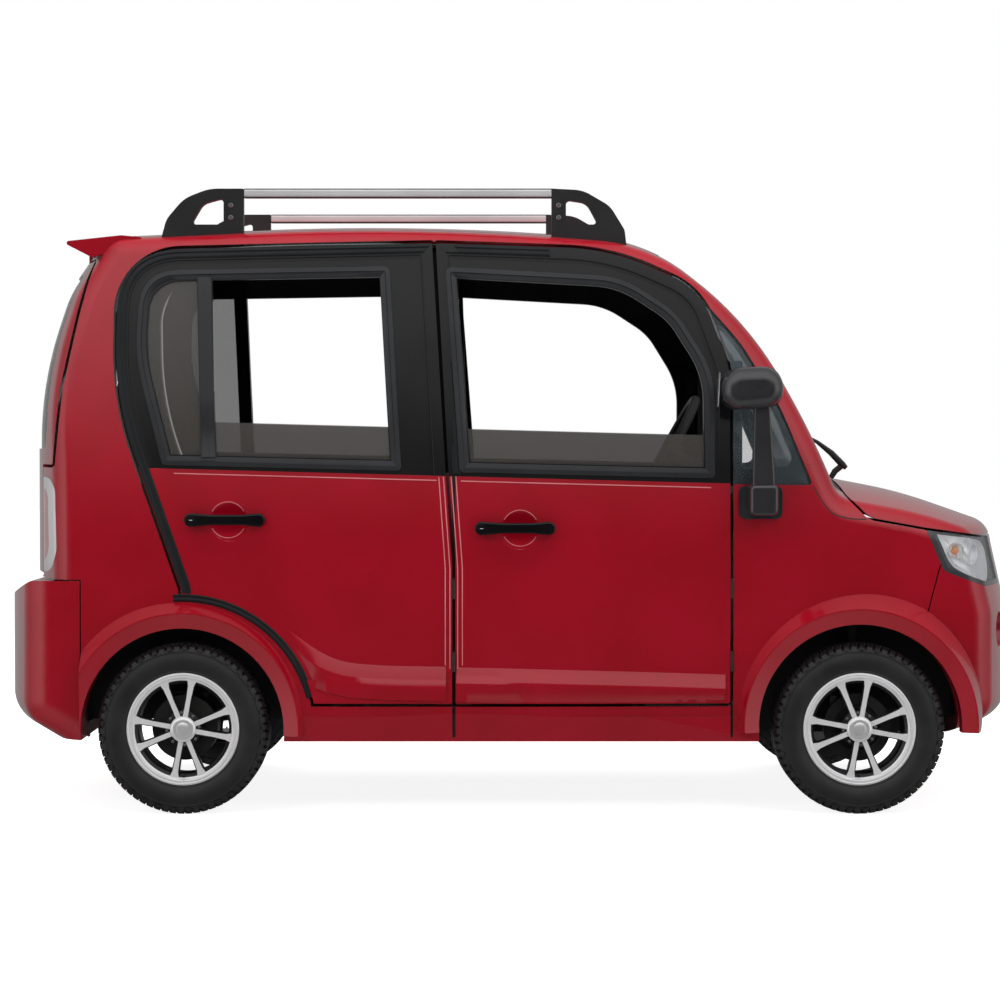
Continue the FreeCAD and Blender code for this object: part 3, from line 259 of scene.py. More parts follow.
def inner_face(tree):
    """1 on faces that look to the middle plane, down into the cabin, or forwards from its rear wall."""
    place, facing = place_of(tree), facing_of(tree)
    inward = maths(tree, "LESS_THAN", both(tree, place["Y"], facing["Y"]), -0.09)
    down = maths(tree, "LESS_THAN", facing["Z"], -0.35)
    ceiling = both(tree, down, maths(tree, "GREATER_THAN", place["Z"], 0.9))
    ahead = maths(tree, "GREATER_THAN", facing["X"], 0.3)
    at_rear = maths(tree, "LESS_THAN", place["X"], -0.9)
    over_floor = maths(tree, "GREATER_THAN", place["Z"], 0.6)
    rear_wall = both(tree, ahead, both(tree, at_rear, over_floor))
    return maths(tree, "MAXIMUM", inward, maths(tree, "MAXIMUM", ceiling, rear_wall))


def in_box(x0, x1, z0, z1):
    """Mask that is 1 between two places along X and two heights."""
    def mask(tree):
        place = place_of(tree)
        inside = []
        for axis, low, high in (("X", x0, x1), ("Z", z0, z1)):
            inside.append(both(tree, maths(tree, "GREATER_THAN", place[axis], low),
                               maths(tree, "LESS_THAN", place[axis], high)))
        return both(tree, *inside)
    return mask


# Colour sockets of a mix node, by number because their names repeat
MIX_FIRST, MIX_SECOND, MIX_RESULT = 6, 7, 2


def recolour(mat, mask_of, colour):
    """Gives the masked faces another colour and returns the mask's socket."""
    tree = mat.node_tree
    base = tree.nodes["Principled BSDF"].inputs["Base Color"]
    mask = mask_of(tree)
    mix = add(tree, "Mix", {MIX_SECOND: (*colour, 1)})
    mix.data_type = "RGBA"
    tree.links.new(mask, mix.inputs[0])
    tree.links.new(base.links[0].from_socket, mix.inputs[MIX_FIRST])
    tree.links.new(mix.outputs[MIX_RESULT], base)
    return mask


def second_look(mat, mask_of, colour, rough, metal=0.0):
    """Gives the masked faces another colour, roughness and metal, and no coat."""
    tree = mat.node_tree
    shader = tree.nodes["Principled BSDF"]
    mask = recolour(mat, mask_of, colour)
    for name, value in (("Roughness", rough), ("Metallic", metal), ("Coat Weight", 0.0)):
        socket = shader.inputs[name]
        tree.links.new(ranged(tree, mask, (0.0, 1.0), (socket.default_value, value)), socket)


CABIN_TAUPE = (0.20, 0.175, 0.155)
# Black: painted shade on the red faces inside the shut lines, and the matte black of the middle pillar
# between the door frames
SHADE_AND_PILLAR_BLACK = (0.006, 0.006, 0.006)
# Shut lines in metres: from X, to X, from Z, to Z
DOOR_GAP = (-0.1503, -0.1417, 0.2, 0.9)
FENDER_GAP = (0.5687, 0.5755, 0.2, 1.15)
MIDDLE_PILLAR = (-0.212, -0.135, 0.884, 1.474)
recolour(red_paint, inner_face, CABIN_TAUPE)
# Painted shade: red faces inside the shut lines between the doors and at the fender turn black
recolour(red_paint, in_box(*DOOR_GAP), SHADE_AND_PILLAR_BLACK)
recolour(red_paint, in_box(*FENDER_GAP), SHADE_AND_PILLAR_BLACK)
second_look(red_paint, in_box(*MIDDLE_PILLAR), SHADE_AND_PILLAR_BLACK, 0.5)
second_look(wheel_metal, outboard, (0.86, 0.86, 0.87), 0.3, 0.2)

NODE_LOOKS = [
    # material, starts of node names; the first row that fits counts
    (case_grey, ("battery_pack", "drive_motor")),
    (black_plastic, ("cowl", "dashboard", "floor_pan", "steering_wheel", "wheel_liners", "wiper")),
    (seat_cloth, ("front_seats", "rear_seat")),
    (steel_dark, ("front_suspension", "knuckle", "rear_axle")),
    (dark_bezel, ("headlamp_housings",)),
    (lens, ("headlamps",)),
    (fog_lens, ("fog_lamps",)),
    (lamp_chrome, ("tail_lamp_bezels",)),
    (lamp_red, ("tail_lamps",)),
    (mirror_grey, ("mirrors",)),
    (rail_coat, ("roof_rails",)),
    (screen_glass, ("quarter_glass", "windscreen")),
    (glass, ("tailgate_glass",)),
    (black_gloss, ("quarter_trim",)),
    (tyre_rubber, ("tyre",)),
    (wheel_metal, ("wheel",)),
    (red_paint, ("body_side", "fender", "front_bumper", "hood", "rear_bumper", "roof_panel", "tailgate")),
]


def look_of(name):
    """Material of a node, by the middle or the start of its name."""
    if name.startswith("door_"):
        return red_paint if "_panel_" in name else glass if "_glass_" in name else black_gloss
    return next(mat for mat, starts in NODE_LOOKS if name.startswith(starts))


for name, obj in nodes.items():
    obj.data.materials.clear()
    obj.data.materials.append(look_of(name))
    obj.data.shade_smooth()


# Stage: floor, surroundings, lamps and camera

WHITE = (1.0, 1.0, 1.0, 1)


def seen_straight(tree, path):
    """1 for what the camera sees, through panes too."""
    return maths(tree, "MAXIMUM", path.outputs["Is Camera Ray"], path.outputs["Is Transmission Ray"])


def floor_surface():
    """Pale surface that the camera sees close to plain white, with faint shadows; reflections miss it."""
    mat = bpy.data.materials.new("floor_white")
    mat.use_nodes = True
    tree = mat.node_tree
    tree.nodes.clear()
    path = add(tree, "LightPath")
    lit = add(tree, "Emission", {"Strength": 0.88})
    unlit = add(tree, "Emission", {"Strength": 0.0})
    diffuse = add(tree, "BsdfDiffuse", {"Color": (0.70, 0.70, 0.70, 1)})
    shown = add(tree, "AddShader")
    tree.links.new(diffuse.outputs[0], shown.inputs[0])
    tree.links.new(blend(tree, seen_straight(tree, path), unlit, lit).outputs[0], shown.inputs[1])
    clear = add(tree, "BsdfTransparent")
    last = blend(tree, path.outputs["Is Glossy Ray"], shown, clear)
    tree.links.new(last.outputs[0], add(tree, "OutputMaterial").inputs["Surface"])
    return mat


def studio_world():
    """White backdrop; reflections see it dark on the near side, bright above, behind and at the ends."""
    world = bpy.data.worlds.new("studio")
    world.use_nodes = True
    tree = world.node_tree
    tree.nodes.clear()
    path = add(tree, "LightPath")
    ambient = add(tree, "Background", {"Color": WHITE, "Strength": 0.30})
    backdrop = add(tree, "Background", {"Color": WHITE, "Strength": 1.0})
    reflected = add(tree, "Background", {"Color": WHITE})
    way = split(tree, add(tree, "TexCoord").outputs["Generated"])
    above = ranged(tree, way["Z"], (0.02, 0.46), (0.05, 1.1), True)
    around = ranged(tree, way["Y"], (-0.93, -0.60), (0.05, 1.1), True)
    below = ranged(tree, way["Z"], (-0.5, -0.02), (0.35, 1.0))
    behind = ranged(tree, way["Y"], (-0.6, 0.2), (1.0, 0.3))
    brightest = maths(tree, "MAXIMUM", above, both(tree, around, below))
    tree.links.new(both(tree, brightest, behind), reflected.inputs["Strength"])
    unseen = blend(tree, path.outputs["Is Glossy Ray"], ambient, reflected)
    last = blend(tree, seen_straight(tree, path), unseen, backdrop)
    tree.links.new(last.outputs[0], add(tree, "OutputWorld").inputs["Surface"])
    return world


def plain_mesh(name, verts, faces):
    data = bpy.data.meshes.new(name)
    data.from_pydata([tuple(p) for p in verts], [], faces)
    data.update()
    obj = bpy.data.objects.new(name, data)
    scene.collection.objects.link(obj)
    return obj


def area_lamp(name, place, aim, width, height, power):
    data = bpy.data.lights.new(name, "AREA")
    data.shape = "RECTANGLE"
    data.size = width
    data.size_y = height
    data.energy = power
    lamp = bpy.data.objects.new(name, data)
    lamp.location = place
    lamp.visible_glossy = False
    lamp.rotation_euler = (Vector(aim) - Vector(place)).to_track_quat("-Z", "Y").to_euler()
    scene.collection.objects.link(lamp)


FLOOR = 30.0
corners = [(-FLOOR, -FLOOR, 0), (FLOOR, -FLOOR, 0), (FLOOR, FLOOR, 0), (-FLOOR, FLOOR, 0)]
floor = plain_mesh("floor", corners, [(0, 1, 2, 3)])
floor.data.materials.append(floor_surface())
scene.world = studio_world()
area_lamp("overhead", (0.0, -0.5, 4.6), (0.0, 0.0, 0.6), 6.5, 3.6, 210.0)
area_lamp("side_front", (3.4, -5.4, 3.9), (0.3, 0.0, 0.8), 2.4, 1.8, 60.0)
area_lamp("side_rear", (-3.6, -5.0, 3.6), (-0.3, 0.0, 0.8), 2.4, 1.8, 50.0)
area_lamp("far_side", (0.0, 5.4, 3.4), (0.0, 0.0, 0.8), 5.0, 2.2, 90.0)

# Camera square to the right side, tilted slightly down
CAMERA_TILT = 1.276
camera_data = bpy.data.cameras.new("camera")
camera_data.sensor_width = 36.0
camera_data.lens = 105.05
camera_data.clip_end = 100.0
camera = bpy.data.objects.new("camera", camera_data)
camera.location = (-0.027, -8.135, 0.982)
camera.rotation_euler = (math.radians(90 - CAMERA_TILT), 0.0, 0.0)
scene.collection.objects.link(camera)
scene.camera = camera

scene.view_settings.view_transform = "Standard"


# Outlines in the side view, in millimetres: x, z, rounding, clockwise

FRONT_AXLE_X = 903.0
REAR_AXLE_X = -847.0
AXLE_Z = 221.5
REAR_AXLE = Vector((REAR_AXLE_X, AXLE_Z))
BELT_Z = 872.0
BELT_SLOPE = 0.0265
DOOR_TOP = 1481
DOOR_FOOT = 289


def belt(x):
    return BELT_Z - BELT_SLOPE * x


REAR_DOOR = [(-1023, 1464, 165), (-204, DOOR_TOP, 6), (-167, 878, 600), (-150, 640, 300),
             (-150, DOOR_FOOT, 6), (-870, DOOR_FOOT, 6), (-850, 583, 40), (-1025, 1073, 850)]
FRONT_DOOR = [(-194, DOOR_TOP, 6), (259, 1466, 600), (493, 1362, 180), (570, 1146, 220), (568, 1000, 6),
              (568, DOOR_FOOT, 6), (-142, DOOR_FOOT, 6), (-142, 640, 300), (-159, 878, 600)]
REAR_WINDOW = [(-962, 1410, 105), (-313, 1421, 20), (-281, belt(-281) + 10, 12), (-900, belt(-900) + 8, 12),
               (-975, 1190, 500)]
FRONT_WINDOW = [(-170, 1419, 20), (287, 1394, 250), (430, 1301, 200), (528, 1144, 250),
                (528, belt(528) + 12, 12), (-130, belt(-130) + 10, 12)]


def moved(corners, inset):
    """Closed corners moved inwards by inset, roundings with them."""
    lines = []
    for i, a in enumerate(corners):
        b = corners[(i + 1) % len(corners)]
        length = math.hypot(b[0] - a[0], b[1] - a[1])
        dx, dz = (b[0] - a[0]) / length, (b[1] - a[1]) / length
        lines.append((a[0] + dz * inset, a[1] - dx * inset, dx, dz))
    out = []
    for i, corner in enumerate(corners):
        p, q = lines[i - 1], lines[i]
        turn = p[2] * q[3] - p[3] * q[2]
        t = ((q[0] - p[0]) * q[3] - (q[1] - p[1]) * q[2]) / turn
        radius = max(corner[2] + (-inset if turn < 0 else inset), 0.8)
        out.append((p[0] + p[2] * t, p[1] + p[3] * t, radius))
    return out


def rounded(corners, arc_steps=10, edge_steps=8):
    """Points along closed corners: the same number for each, whatever their roundings."""
    count = len(corners)
    spots = [Vector(corner[:2]) for corner in corners]
    ways = []
    reach = []
    for i, here in enumerate(spots):
        back = (spots[i - 1] - here).normalized()
        ahead = (spots[(i + 1) % count] - here).normalized()
        angle = math.acos(max(-1.0, min(1.0, back.dot(ahead))))
        ways.append((back, ahead))
        reach.append(corners[i][2] / math.tan(angle / 2))
    for i in range(count):
        j = (i + 1) % count
        length = (spots[j] - spots[i]).length
        total = reach[i] + reach[j]
        if total > length:
            reach[i] *= length / total * 0.99
            reach[j] *= length / total * 0.99
    arcs = [(here + back * r, here, here + ahead * r) for here, (back, ahead), r in zip(spots, ways, reach)]
    points = []
    for i, (start, here, end) in enumerate(arcs):
        for k in range(arc_steps + 1):
            t = k / arc_steps
            points.append(start * (1 - t) ** 2 + here * 2 * t * (1 - t) + end * t ** 2)
        for k in range(1, edge_steps):
            points.append(end.lerp(arcs[(i + 1) % count][0], k / edge_steps))
    return points


# The body's skin, found by rays from the right

def tree_of(names):
    verts, faces = [], []
    for name in names:
        data = nodes[name].data
        base = len(verts)
        verts.extend(vert.co.copy() for vert in data.vertices)
        faces.extend([base + i for i in poly.vertices] for poly in data.polygons)
    return BVHTree.FromPolygons(verts, faces)


def side_hit(tree, x, z):
    """Point and normal, in metres, where a ray from the right meets a tree at x, z in millimetres."""
    return tree.ray_cast(Vector((x / 1000, -2.0, z / 1000)), Vector((0, 1, 0)))[:2]


SKIN_STARTS = ("body_side", "door_", "fender")
SKIN_NODES = [name for name in nodes
              if name.startswith(SKIN_STARTS) and name.endswith("_right") and "handle" not in name]
SKIN_NODES += ["roof_panel", "front_bumper", "rear_bumper", "quarter_glass", "quarter_trim"]
skin_tree = tree_of(SKIN_NODES)

# The two crossing arcs of the body side, in millimetres
HALF_WIDTH = 628
WIDEST_X = -100
WIDEST_Z = 540
ARC_UPRIGHT = 4600.0
ARC_ALONG = 14000.0
# How far a face may lie off the arcs, where the shell begins, and rays tried in turn
SKIN_BAND = 26
SHELL_FROM = 450
SKIN_REACH = 12
CROSS = ((0, 0), (1, 0), (-1, 0), (0, 1), (0, -1))


def skin(x, z):
    """Distance of the body side from the middle plane at x, z, past grooves and openings."""
    low = HALF_WIDTH - ARC_UPRIGHT + math.sqrt(ARC_UPRIGHT ** 2 - (z - WIDEST_Z) ** 2)
    rough = HALF_WIDTH - ARC_ALONG + math.sqrt((low + (ARC_ALONG - HALF_WIDTH)) ** 2 - (x - WIDEST_X) ** 2)
    for dx, dz in CROSS:
        point, _ = side_hit(skin_tree, x + SKIN_REACH * dx, z + SKIN_REACH * dz)
        if point is not None and abs(-point.y * 1000 - rough) < SKIN_BAND:
            return -point.y * 1000
    return rough


def surface(x, z, reach=14):
    """Distance of the outermost face from the middle plane near x, z, evened over a few rays."""
    found = []
    for dx, dz in CROSS:
        point, _ = side_hit(skin_tree, x + reach * dx, z + reach * dz)
        if point is not None and -point.y * 1000 > SHELL_FROM:
            found.append(-point.y * 1000)
    if not found:
        return skin(x, z)
    return sorted(found)[len(found) // 2]


# Pieces from rings of points

def mend(data, merge):
    """Faces a mesh outwards; merge joins points that coincide."""
    mesh = bmesh.new()
    mesh.from_mesh(data)
    if merge:
        bmesh.ops.remove_doubles(mesh, verts=mesh.verts, dist=1e-6)
    bmesh.ops.recalc_face_normals(mesh, faces=mesh.faces)
    mesh.to_mesh(data)
    mesh.free()


def in_metres(points):
    return [tuple(c / 1000.0 for c in p) for p in points]


def piece(name, verts, faces, mat, body, sharp=35.0):
    """A named mesh of the object that rides on a body; its points are in millimetres."""
    obj = plain_mesh(name, in_metres(verts), faces)
    mend(obj.data, True)
    obj.data.shade_smooth()
    obj.data.set_sharp_from_angle(angle=math.radians(sharp))
    obj.data.materials.append(mat)
    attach(obj, body)
    return obj


def pair(name, verts, faces, mat, body, sharp=35.0):
    """The same piece on the right and, mirrored, on the left; body may hold %s for the side."""
    made = []
    for side, sign in SIDES:
        mirrored = [(x, y * sign, z) for x, y, z in verts]
        rider = body % side if "%s" in body else body
        made.append(piece(name + "_" + side, mirrored, faces, mat, rider, sharp))
    return made


def loft(rings, closed_ring=True, closed_loop=False, caps=False):
    """Faces between rings of points of one length."""
    width = len(rings[0])
    verts = [p for ring in rings for p in ring]
    faces = []
    for r in range(len(rings) if closed_loop else len(rings) - 1):
        a, b = r * width, ((r + 1) % len(rings)) * width
        for i in range(width if closed_ring else width - 1):
            j = (i + 1) % width
            faces.append((a + i, a + j, b + j, b + i))
    if caps:
        faces.append(tuple(range(width)))
        faces.append(tuple((len(rings) - 1) * width + i for i in range(width)))
    return verts, faces


def together(*parts):
    verts, faces = [], []
    for more_verts, more_faces in parts:
        base = len(verts)
        verts.extend(more_verts)
        faces.extend(tuple(base + i for i in face) for face in more_faces)
    return verts, faces


def turned(profile, origin, axis, steps, closed=False):
    """A profile of (radius, height) turned about an axis through origin."""
    turn = Vector(axis).normalized().to_track_quat("Z", "X").to_matrix()
    rings = []
    for radius, height in profile:
        ring = []
        for k in range(steps):
            angle = math.tau * k / steps
            spot = Vector((radius * math.cos(angle), radius * math.sin(angle), height))
            ring.append(tuple(Vector(origin) + turn @ spot))
        rings.append(ring)
    return loft(rings, True, closed)


def brick(x0, x1, y0, y1, z0, z1, t):
    """Box with its edges cut off by t."""
    rings = []
    for z, inset in ((z0, t), (z0 + t, 0.0), (z1 - t, 0.0), (z1, t)):
        a, b, c, d = x0 + inset, x1 - inset, y0 + inset, y1 - inset
        rings.append([(a + t, c, z), (b - t, c, z), (b, c + t, z), (b, d - t, z),
                      (b - t, d, z), (a + t, d, z), (a, d - t, z), (a, c + t, z)])
    return loft(rings, caps=True)


def soft_square(steps, power):
    """Pairs on a rounded square of half width 1; a higher power has sharper corners."""
    pairs = []
    for k in range(steps):
        angle = math.tau * k / steps
        reach = (1 / (abs(math.cos(angle)) ** power + abs(math.sin(angle)) ** power)) ** (1 / power)
        pairs.append((reach * math.cos(angle), reach * math.sin(angle)))
    return pairs


def moulding(corners, profile, wanted=None):
    """Closed strip along an outline on the right side; profile rows are inset and height over the skin."""
    lines = []
    for inset, height in profile:
        lines.append([(p.x, -(skin(p.x, p.y) + height), p.y) for p in rounded(moved(corners, inset))])
    verts, faces = loft(lines, True, True)
    if wanted:
        faces = [face for face in faces
                 if wanted(sum(verts[i][0] for i in face) / 4, sum(verts[i][2] for i in face) / 4)]
    return verts, faces


def arc_strip(centre, rows, start, stop, steps, away, at=None):
    """Strip round a centre; rows are radius and height over away, which is found at one radius if given."""
    lines = []
    for radius, height in rows:
        line = []
        for k in range(steps + 1):
            angle = math.radians(start + (stop - start) * k / steps)
            way = (math.cos(angle), math.sin(angle))
            x, z = (c + radius * w for c, w in zip(centre, way))
            near = (c + (at or radius) * w for c, w in zip(centre, way))
            line.append((x, -(away(*near) + height), z))
        lines.append(line)
    return loft(lines, False)


def smooth_line(points, steps):
    """Evenly stepped points along a soft curve through the given ones."""
    spots = [Vector(p) for p in points]
    out = []
    for i in range(len(spots) - 1):
        a, b = spots[max(i - 1, 0)], spots[i]
        c, d = spots[i + 1], spots[min(i + 2, len(spots) - 1)]
        for k in range(steps):
            t = k / steps
            out.append(0.5 * (2 * b + (c - a) * t + (2 * a - 5 * b + 4 * c - d) * t ** 2
                              + (3 * b - a - 3 * c + d) * t ** 3))
    out.append(spots[-1])
    return out


def stations(points, steps=8):
    """Points along a soft curve, each with the direction square to it and below."""
    line = smooth_line(points, steps)
    out = []
    for i, spot in enumerate(line):
        ahead = (line[min(i + 1, len(line) - 1)] - line[max(i - 1, 0)]).normalized()
        out.append((spot, Vector((ahead.y, -ahead.x))))
    return out


def line_strip(line, section, away=skin):
    """Strip along stations; section rows are distance below the line and height over away."""
    rings = []
    for spot, below in line:
        places = [(spot + below * distance, height) for distance, height in section]
        rings.append([(p.x, -(away(p.x, p.y) + height), p.y) for p, height in places])
    return loft(rings, False)


# Window trims, door seals and lips of the window frames

TRIM_PROFILE = [(0, -3), (0, 3.5), (1.5, 5), (12, 5.5), (14.5, 2.5), (25, 1.2), (28.4, -1.5), (28.4, -34),
                (24, -34), (24, -3)]
SEAL_PROFILE = [(1, -6), (1, 0.5), (4, 2.6), (8, 3.2), (11, 1.2), (13, 1.0), (17, 2.8), (22, 2.6),
                (26, 0.8), (26, -6)]
LIP_PROFILE = [(27.5, -2), (28, 2.2), (29.4, 3.2), (31.2, 3.0), (32.5, 0.8), (40, 0.4), (40, -2)]


def rear_seal(x, z):
    """Round the top and the rear edge, down to the wheel arch."""
    return x < -225 and z > 566


def front_seal(x, z):
    """Along the top, to where the window curves down."""
    return z > belt(x) + 8 and -150 < x < 480 and x + z < 1560


def frame_lip(x, z):
    """Round the window above the belt, and further up at the front pillar."""
    return z > belt(x) + (4 if x < 480 else 60)


for end, door, window, seal in (("rear", REAR_DOOR, REAR_WINDOW, rear_seal),
                                ("front", FRONT_DOOR, FRONT_WINDOW, front_seal)):
    body = "door_" + end + "_%s"
    pair("window_trim_" + end, *moulding(window, TRIM_PROFILE), grey_trim, body)
    pair("door_seal_" + end, *moulding(door, SEAL_PROFILE, seal), rubber, body)
    pair("frame_lip_" + end, *moulding(door, LIP_PROFILE, frame_lip), black_gloss, body)


# Seal on the body along the wheel arch, where the rear door ends

ARCH_ROWS = [(330, -6), (330, 1), (333, 3), (337, 3.2), (341, 1), (343, 1), (347, 2.6), (350, 0.6),
             (350, -6)]
ARCH_MIDDLE = 340
pair("arch_seal", *arc_strip(REAR_AXLE, ARCH_ROWS, 14, 94, 40, surface, ARCH_MIDDLE), rubber, "body")


# Upright bar between the two panes of the rear door

BAR_HALF = [(19, -20), (19, 1.5), (17, 3.5), (9, 4.5), (6, 3.0)]
BAR_ROWS = [(-x, height) for x, height in BAR_HALF] + BAR_HALF[::-1]
BAR_X = -779
BAR_Z = 900
BAR_LEAN = 17 / 490
BAR_FOOT = belt(-780) + 32
BAR_TOP = 1393
BAR_SKIN_X = -700


def window_bar():
    lines = []
    for offset, height in BAR_ROWS:
        line = []
        for k in range(13):
            z = BAR_FOOT + (BAR_TOP - BAR_FOOT) * k / 12
            x = BAR_X + offset - BAR_LEAN * (z - BAR_Z)
            line.append((x, -(skin(BAR_SKIN_X, z) + height), z))
        lines.append(line)
    return loft(lines, False)


pair("window_bar", *window_bar(), grey_trim, "door_rear_%s")


# Wheels: tread, rim lip, centre cap, nuts and valve, made about the axle

WHEEL_Y = 545.0
AXLE_WAY = (0, 1, 0)
CENTRE = (0, 0, 0)
CARCASS = [
    # radius, distance from the tyre's middle plane
    (132, 50), (141, 52), (143, 57), (147, 61.5), (149.5, 62.3), (151.5, 61.6), (160, 65.0), (170, 66.6),
    (178, 67.2), (186, 66.6), (193, 65.2), (197, 64.2), (198, 65.1), (200.5, 64.9), (201.5, 63.4),
    (206, 61.6), (210, 57.5), (213, 50), (213.5, 44),
]
TREAD_PITCHES = 66
PITCH = math.tau / TREAD_PITCHES
# From Y, to Y, shift along the tread in pitches
TREAD_ROWS = [(-41, -24, 0.0), (-19, -2, 0.5), (2, 19, 0.0), (24, 41, 0.5)]
TREAD_LEAN = 0.22
# Radius, half length in pitches
BLOCK_LEVELS = [(212.0, 0.37), (221.3, 0.31)]
BLOCK_FACES = [(4, 5, 6, 7), (0, 1, 5, 4), (1, 2, 6, 5), (2, 3, 7, 6), (3, 0, 4, 7)]
SHOULDER_FACES = []
for first in (0, 2, 4):
    SHOULDER_FACES += [(first, first + 1, first + 3, first + 2), (first, first + 2, first + 10, first + 8),
                       (first + 1, first + 9, first + 11, first + 3)]
SHOULDER_FACES += [(0, 8, 9, 1), (6, 7, 15, 14)]


def tread_block(y0, y1, middle):
    corners = []
    for radius, half in BLOCK_LEVELS:
        for y, way in ((y0, -1), (y1, -1), (y1, 1), (y0, 1)):
            angle = middle + way * half * PITCH + TREAD_LEAN * PITCH * (y - y0) / (y1 - y0)
            corners.append((radius * math.cos(angle), y, radius * math.sin(angle)))
    return corners, BLOCK_FACES


def shoulder_block(side, middle, deep, half):
    """Block that bends over the tyre's shoulder down to the radius deep."""
    corners = []
    for radius, y in ((221.3, 45), (219.5, 52), (213.5, 60.5), (deep, 65.4),
                      (211, 45), (210, 52), (206, 58), (deep - 1, 62.5)):
        for way in (-1, 1):
            angle = middle + way * half * PITCH
            corners.append((radius * math.cos(angle), side * y, radius * math.sin(angle)))
    return corners, SHOULDER_FACES


def tyre_mesh():
    section = [(r, -y) for r, y in CARCASS] + [(r, y) for r, y in reversed(CARCASS)]
    parts = [turned(section, CENTRE, AXLE_WAY, 120, True)]
    for k in range(TREAD_PITCHES):
        for y0, y1, shift in TREAD_ROWS:
            parts.append(tread_block(y0, y1, (k + shift) * PITCH))
        deep, half = (201.5, 0.34) if k % 2 else (205.5, 0.30)
        for side in (-1, 1):
            parts.append(shoulder_block(side, (k + 0.25) * PITCH, deep, half))
    return together(*parts)


NUT = [(4.6, -48), (4.6, -56), (3.9, -57), (0.1, -57.6)]
NUTS = 8
NUT_CIRCLE = 42
FIRST_NUT = math.radians(6)


def wheel_nuts():
    nuts = []
    for k in range(NUTS):
        angle = math.tau * k / NUTS + FIRST_NUT
        spot = (NUT_CIRCLE * math.cos(angle), 0, NUT_CIRCLE * math.sin(angle))
        nuts.append(turned(NUT, spot, AXLE_WAY, 12))
    return together(*nuts)


RIM_LIP = [(139, -55), (144.5, -57), (146, -60), (144.5, -62.5), (141.5, -63), (139.8, -61), (137.8, -60.8),
           (135.5, -62), (132.5, -61.5), (130.6, -59), (130.4, -56)]
CENTRE_CAP = [(0.1, -65.5), (9, -65.2), (17, -64), (19, -63.2), (20.5, -63.9), (26, -63.2), (31, -61),
              (33.6, -58), (33.6, -52)]
VALVE = [(3.4, -50), (3.4, -60), (2.6, -61), (2.6, -69), (0.1, -70)]
WHEEL_PIECES = [
    # name, verts and faces, material, sharp angle
    ("tyre_tread_", tyre_mesh(), tyre_rubber, 25.0),
    ("rim_lip_", turned(RIM_LIP, CENTRE, AXLE_WAY, 96), rim_bright, 50.0),
    ("centre_cap_", turned(CENTRE_CAP, CENTRE, AXLE_WAY, 48), chrome, 50.0),
    ("wheel_nuts_", wheel_nuts(), disc_steel, 35.0),
    ("tyre_valve_", turned(VALVE, (0, 0, -118), AXLE_WAY, 12), black_plastic, 35.0),
]
for end, x in (("front", FRONT_AXLE_X), ("rear", REAR_AXLE_X)):
    for name, (verts, faces), mat, sharp in WHEEL_PIECES:
        placed = [(p[0] + x, p[1] - WHEEL_Y, p[2] + AXLE_Z) for p in verts]
        for obj in pair(name + end, placed, faces, mat, "wheel_" + end + "_%s", sharp):
            if name == "tyre_tread_":
                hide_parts(obj.name.replace("tyre_tread", "tyre"))


# Steps pressed out of the doors below a crease

REAR_CREASE = [(-622, 523), (-585, 491), (-549, 462), (-491, 423), (-429, 398), (-348, 389), (-260, 386),
               (-166, 385)]
FRONT_CREASE = [(-139, 383), (0, 380), (180, 375), (360, 370), (480, 366), (556, 363)]
STEP = [
    # distance below the crease, height over the skin
    (-2, -0.8), (0, 0.0), (1.5, 0.5), (18, 4.4), (33, 8.4), (37, 9.2), (43, 9.0), (60, 8.0), (88, 5.6),
    (90, -0.8),
]
STEP_SUNK = 0.8
STEP_FOOT = 291.0
ARCH_EDGE = 357
ARCH_FADE = 26
RETURN_DEPTH = 12


def ledge(points):
    """Step that dies out at the wheel arch and the door's lower edge, with its ends turned inwards."""
    rings = []
    for spot, below in stations(points):
        ring = []
        for distance, height in STEP:
            p = spot + below * distance
            out = p - REAR_AXLE
            if out.length < ARCH_EDGE:
                p = REAR_AXLE + out.normalized() * ARCH_EDGE
            share = max(0.0, min(1.0, (out.length - ARCH_EDGE) / ARCH_FADE, (p.y - STEP_FOOT) / 4))
            p.y = max(p.y, STEP_FOOT)
            raised = height * share - STEP_SUNK * (1 - share)
            ring.append((p.x, -(skin(p.x, p.y) + raised), p.y))
        rings.append(ring)
    ends = [[(x, y + RETURN_DEPTH, z) for x, y, z in ring] for ring in (rings[0], rings[-1])]
    return loft([ends[0]] + rings + [ends[1]], False)


pair("rear_door_step", *ledge(REAR_CREASE), red_paint, "door_rear_%s", 60.0)
pair("front_door_step", *ledge(FRONT_CREASE), red_paint, "door_front_%s", 60.0)


# Lines of painted highlight where the paint bends: beads in a lighter red along the door edges and under the
# belt

BEAD = [(-1.7, -0.5), (-1.0, 0.8), (1.0, 0.8), (1.7, -0.5)]
BEAD_FOOT = 392
BEAD_ARCH = 372


def rear_bead(x, z):
    """Between the step and the belt, clear of the wheel arch."""
    return BEAD_FOOT < z < belt(x) - 14 and math.hypot(x - REAR_AXLE_X, z - AXLE_Z) > BEAD_ARCH


def front_bead(x, z):
    """The same, along the door's rear edge."""
    return rear_bead(x, z) and x < 300


for end, door, shown, (from_x, to_x) in (("rear", REAR_DOOR, rear_bead, (-870, -172)),
                                         ("front", FRONT_DOOR, front_bead, (-128, 524))):
    body = "door_" + end + "_%s"
    for number, inset in (("outer", 6.0), ("inner", 18.0)):
        profile = [(inset + away, height) for away, height in BEAD]
        pair("door_edge_line_" + end + "_" + number, *moulding(door, profile, shown), highlight_paint, body)
    line = stations([(x, belt(x) - 12) for x in range(from_x, to_x + 1, 34)])
    pair("belt_line_" + end, *line_strip(line, BEAD), highlight_paint, body)


# Seam of the cowl side above the fender: a thin black strip on the red skin, painted shade in the groove

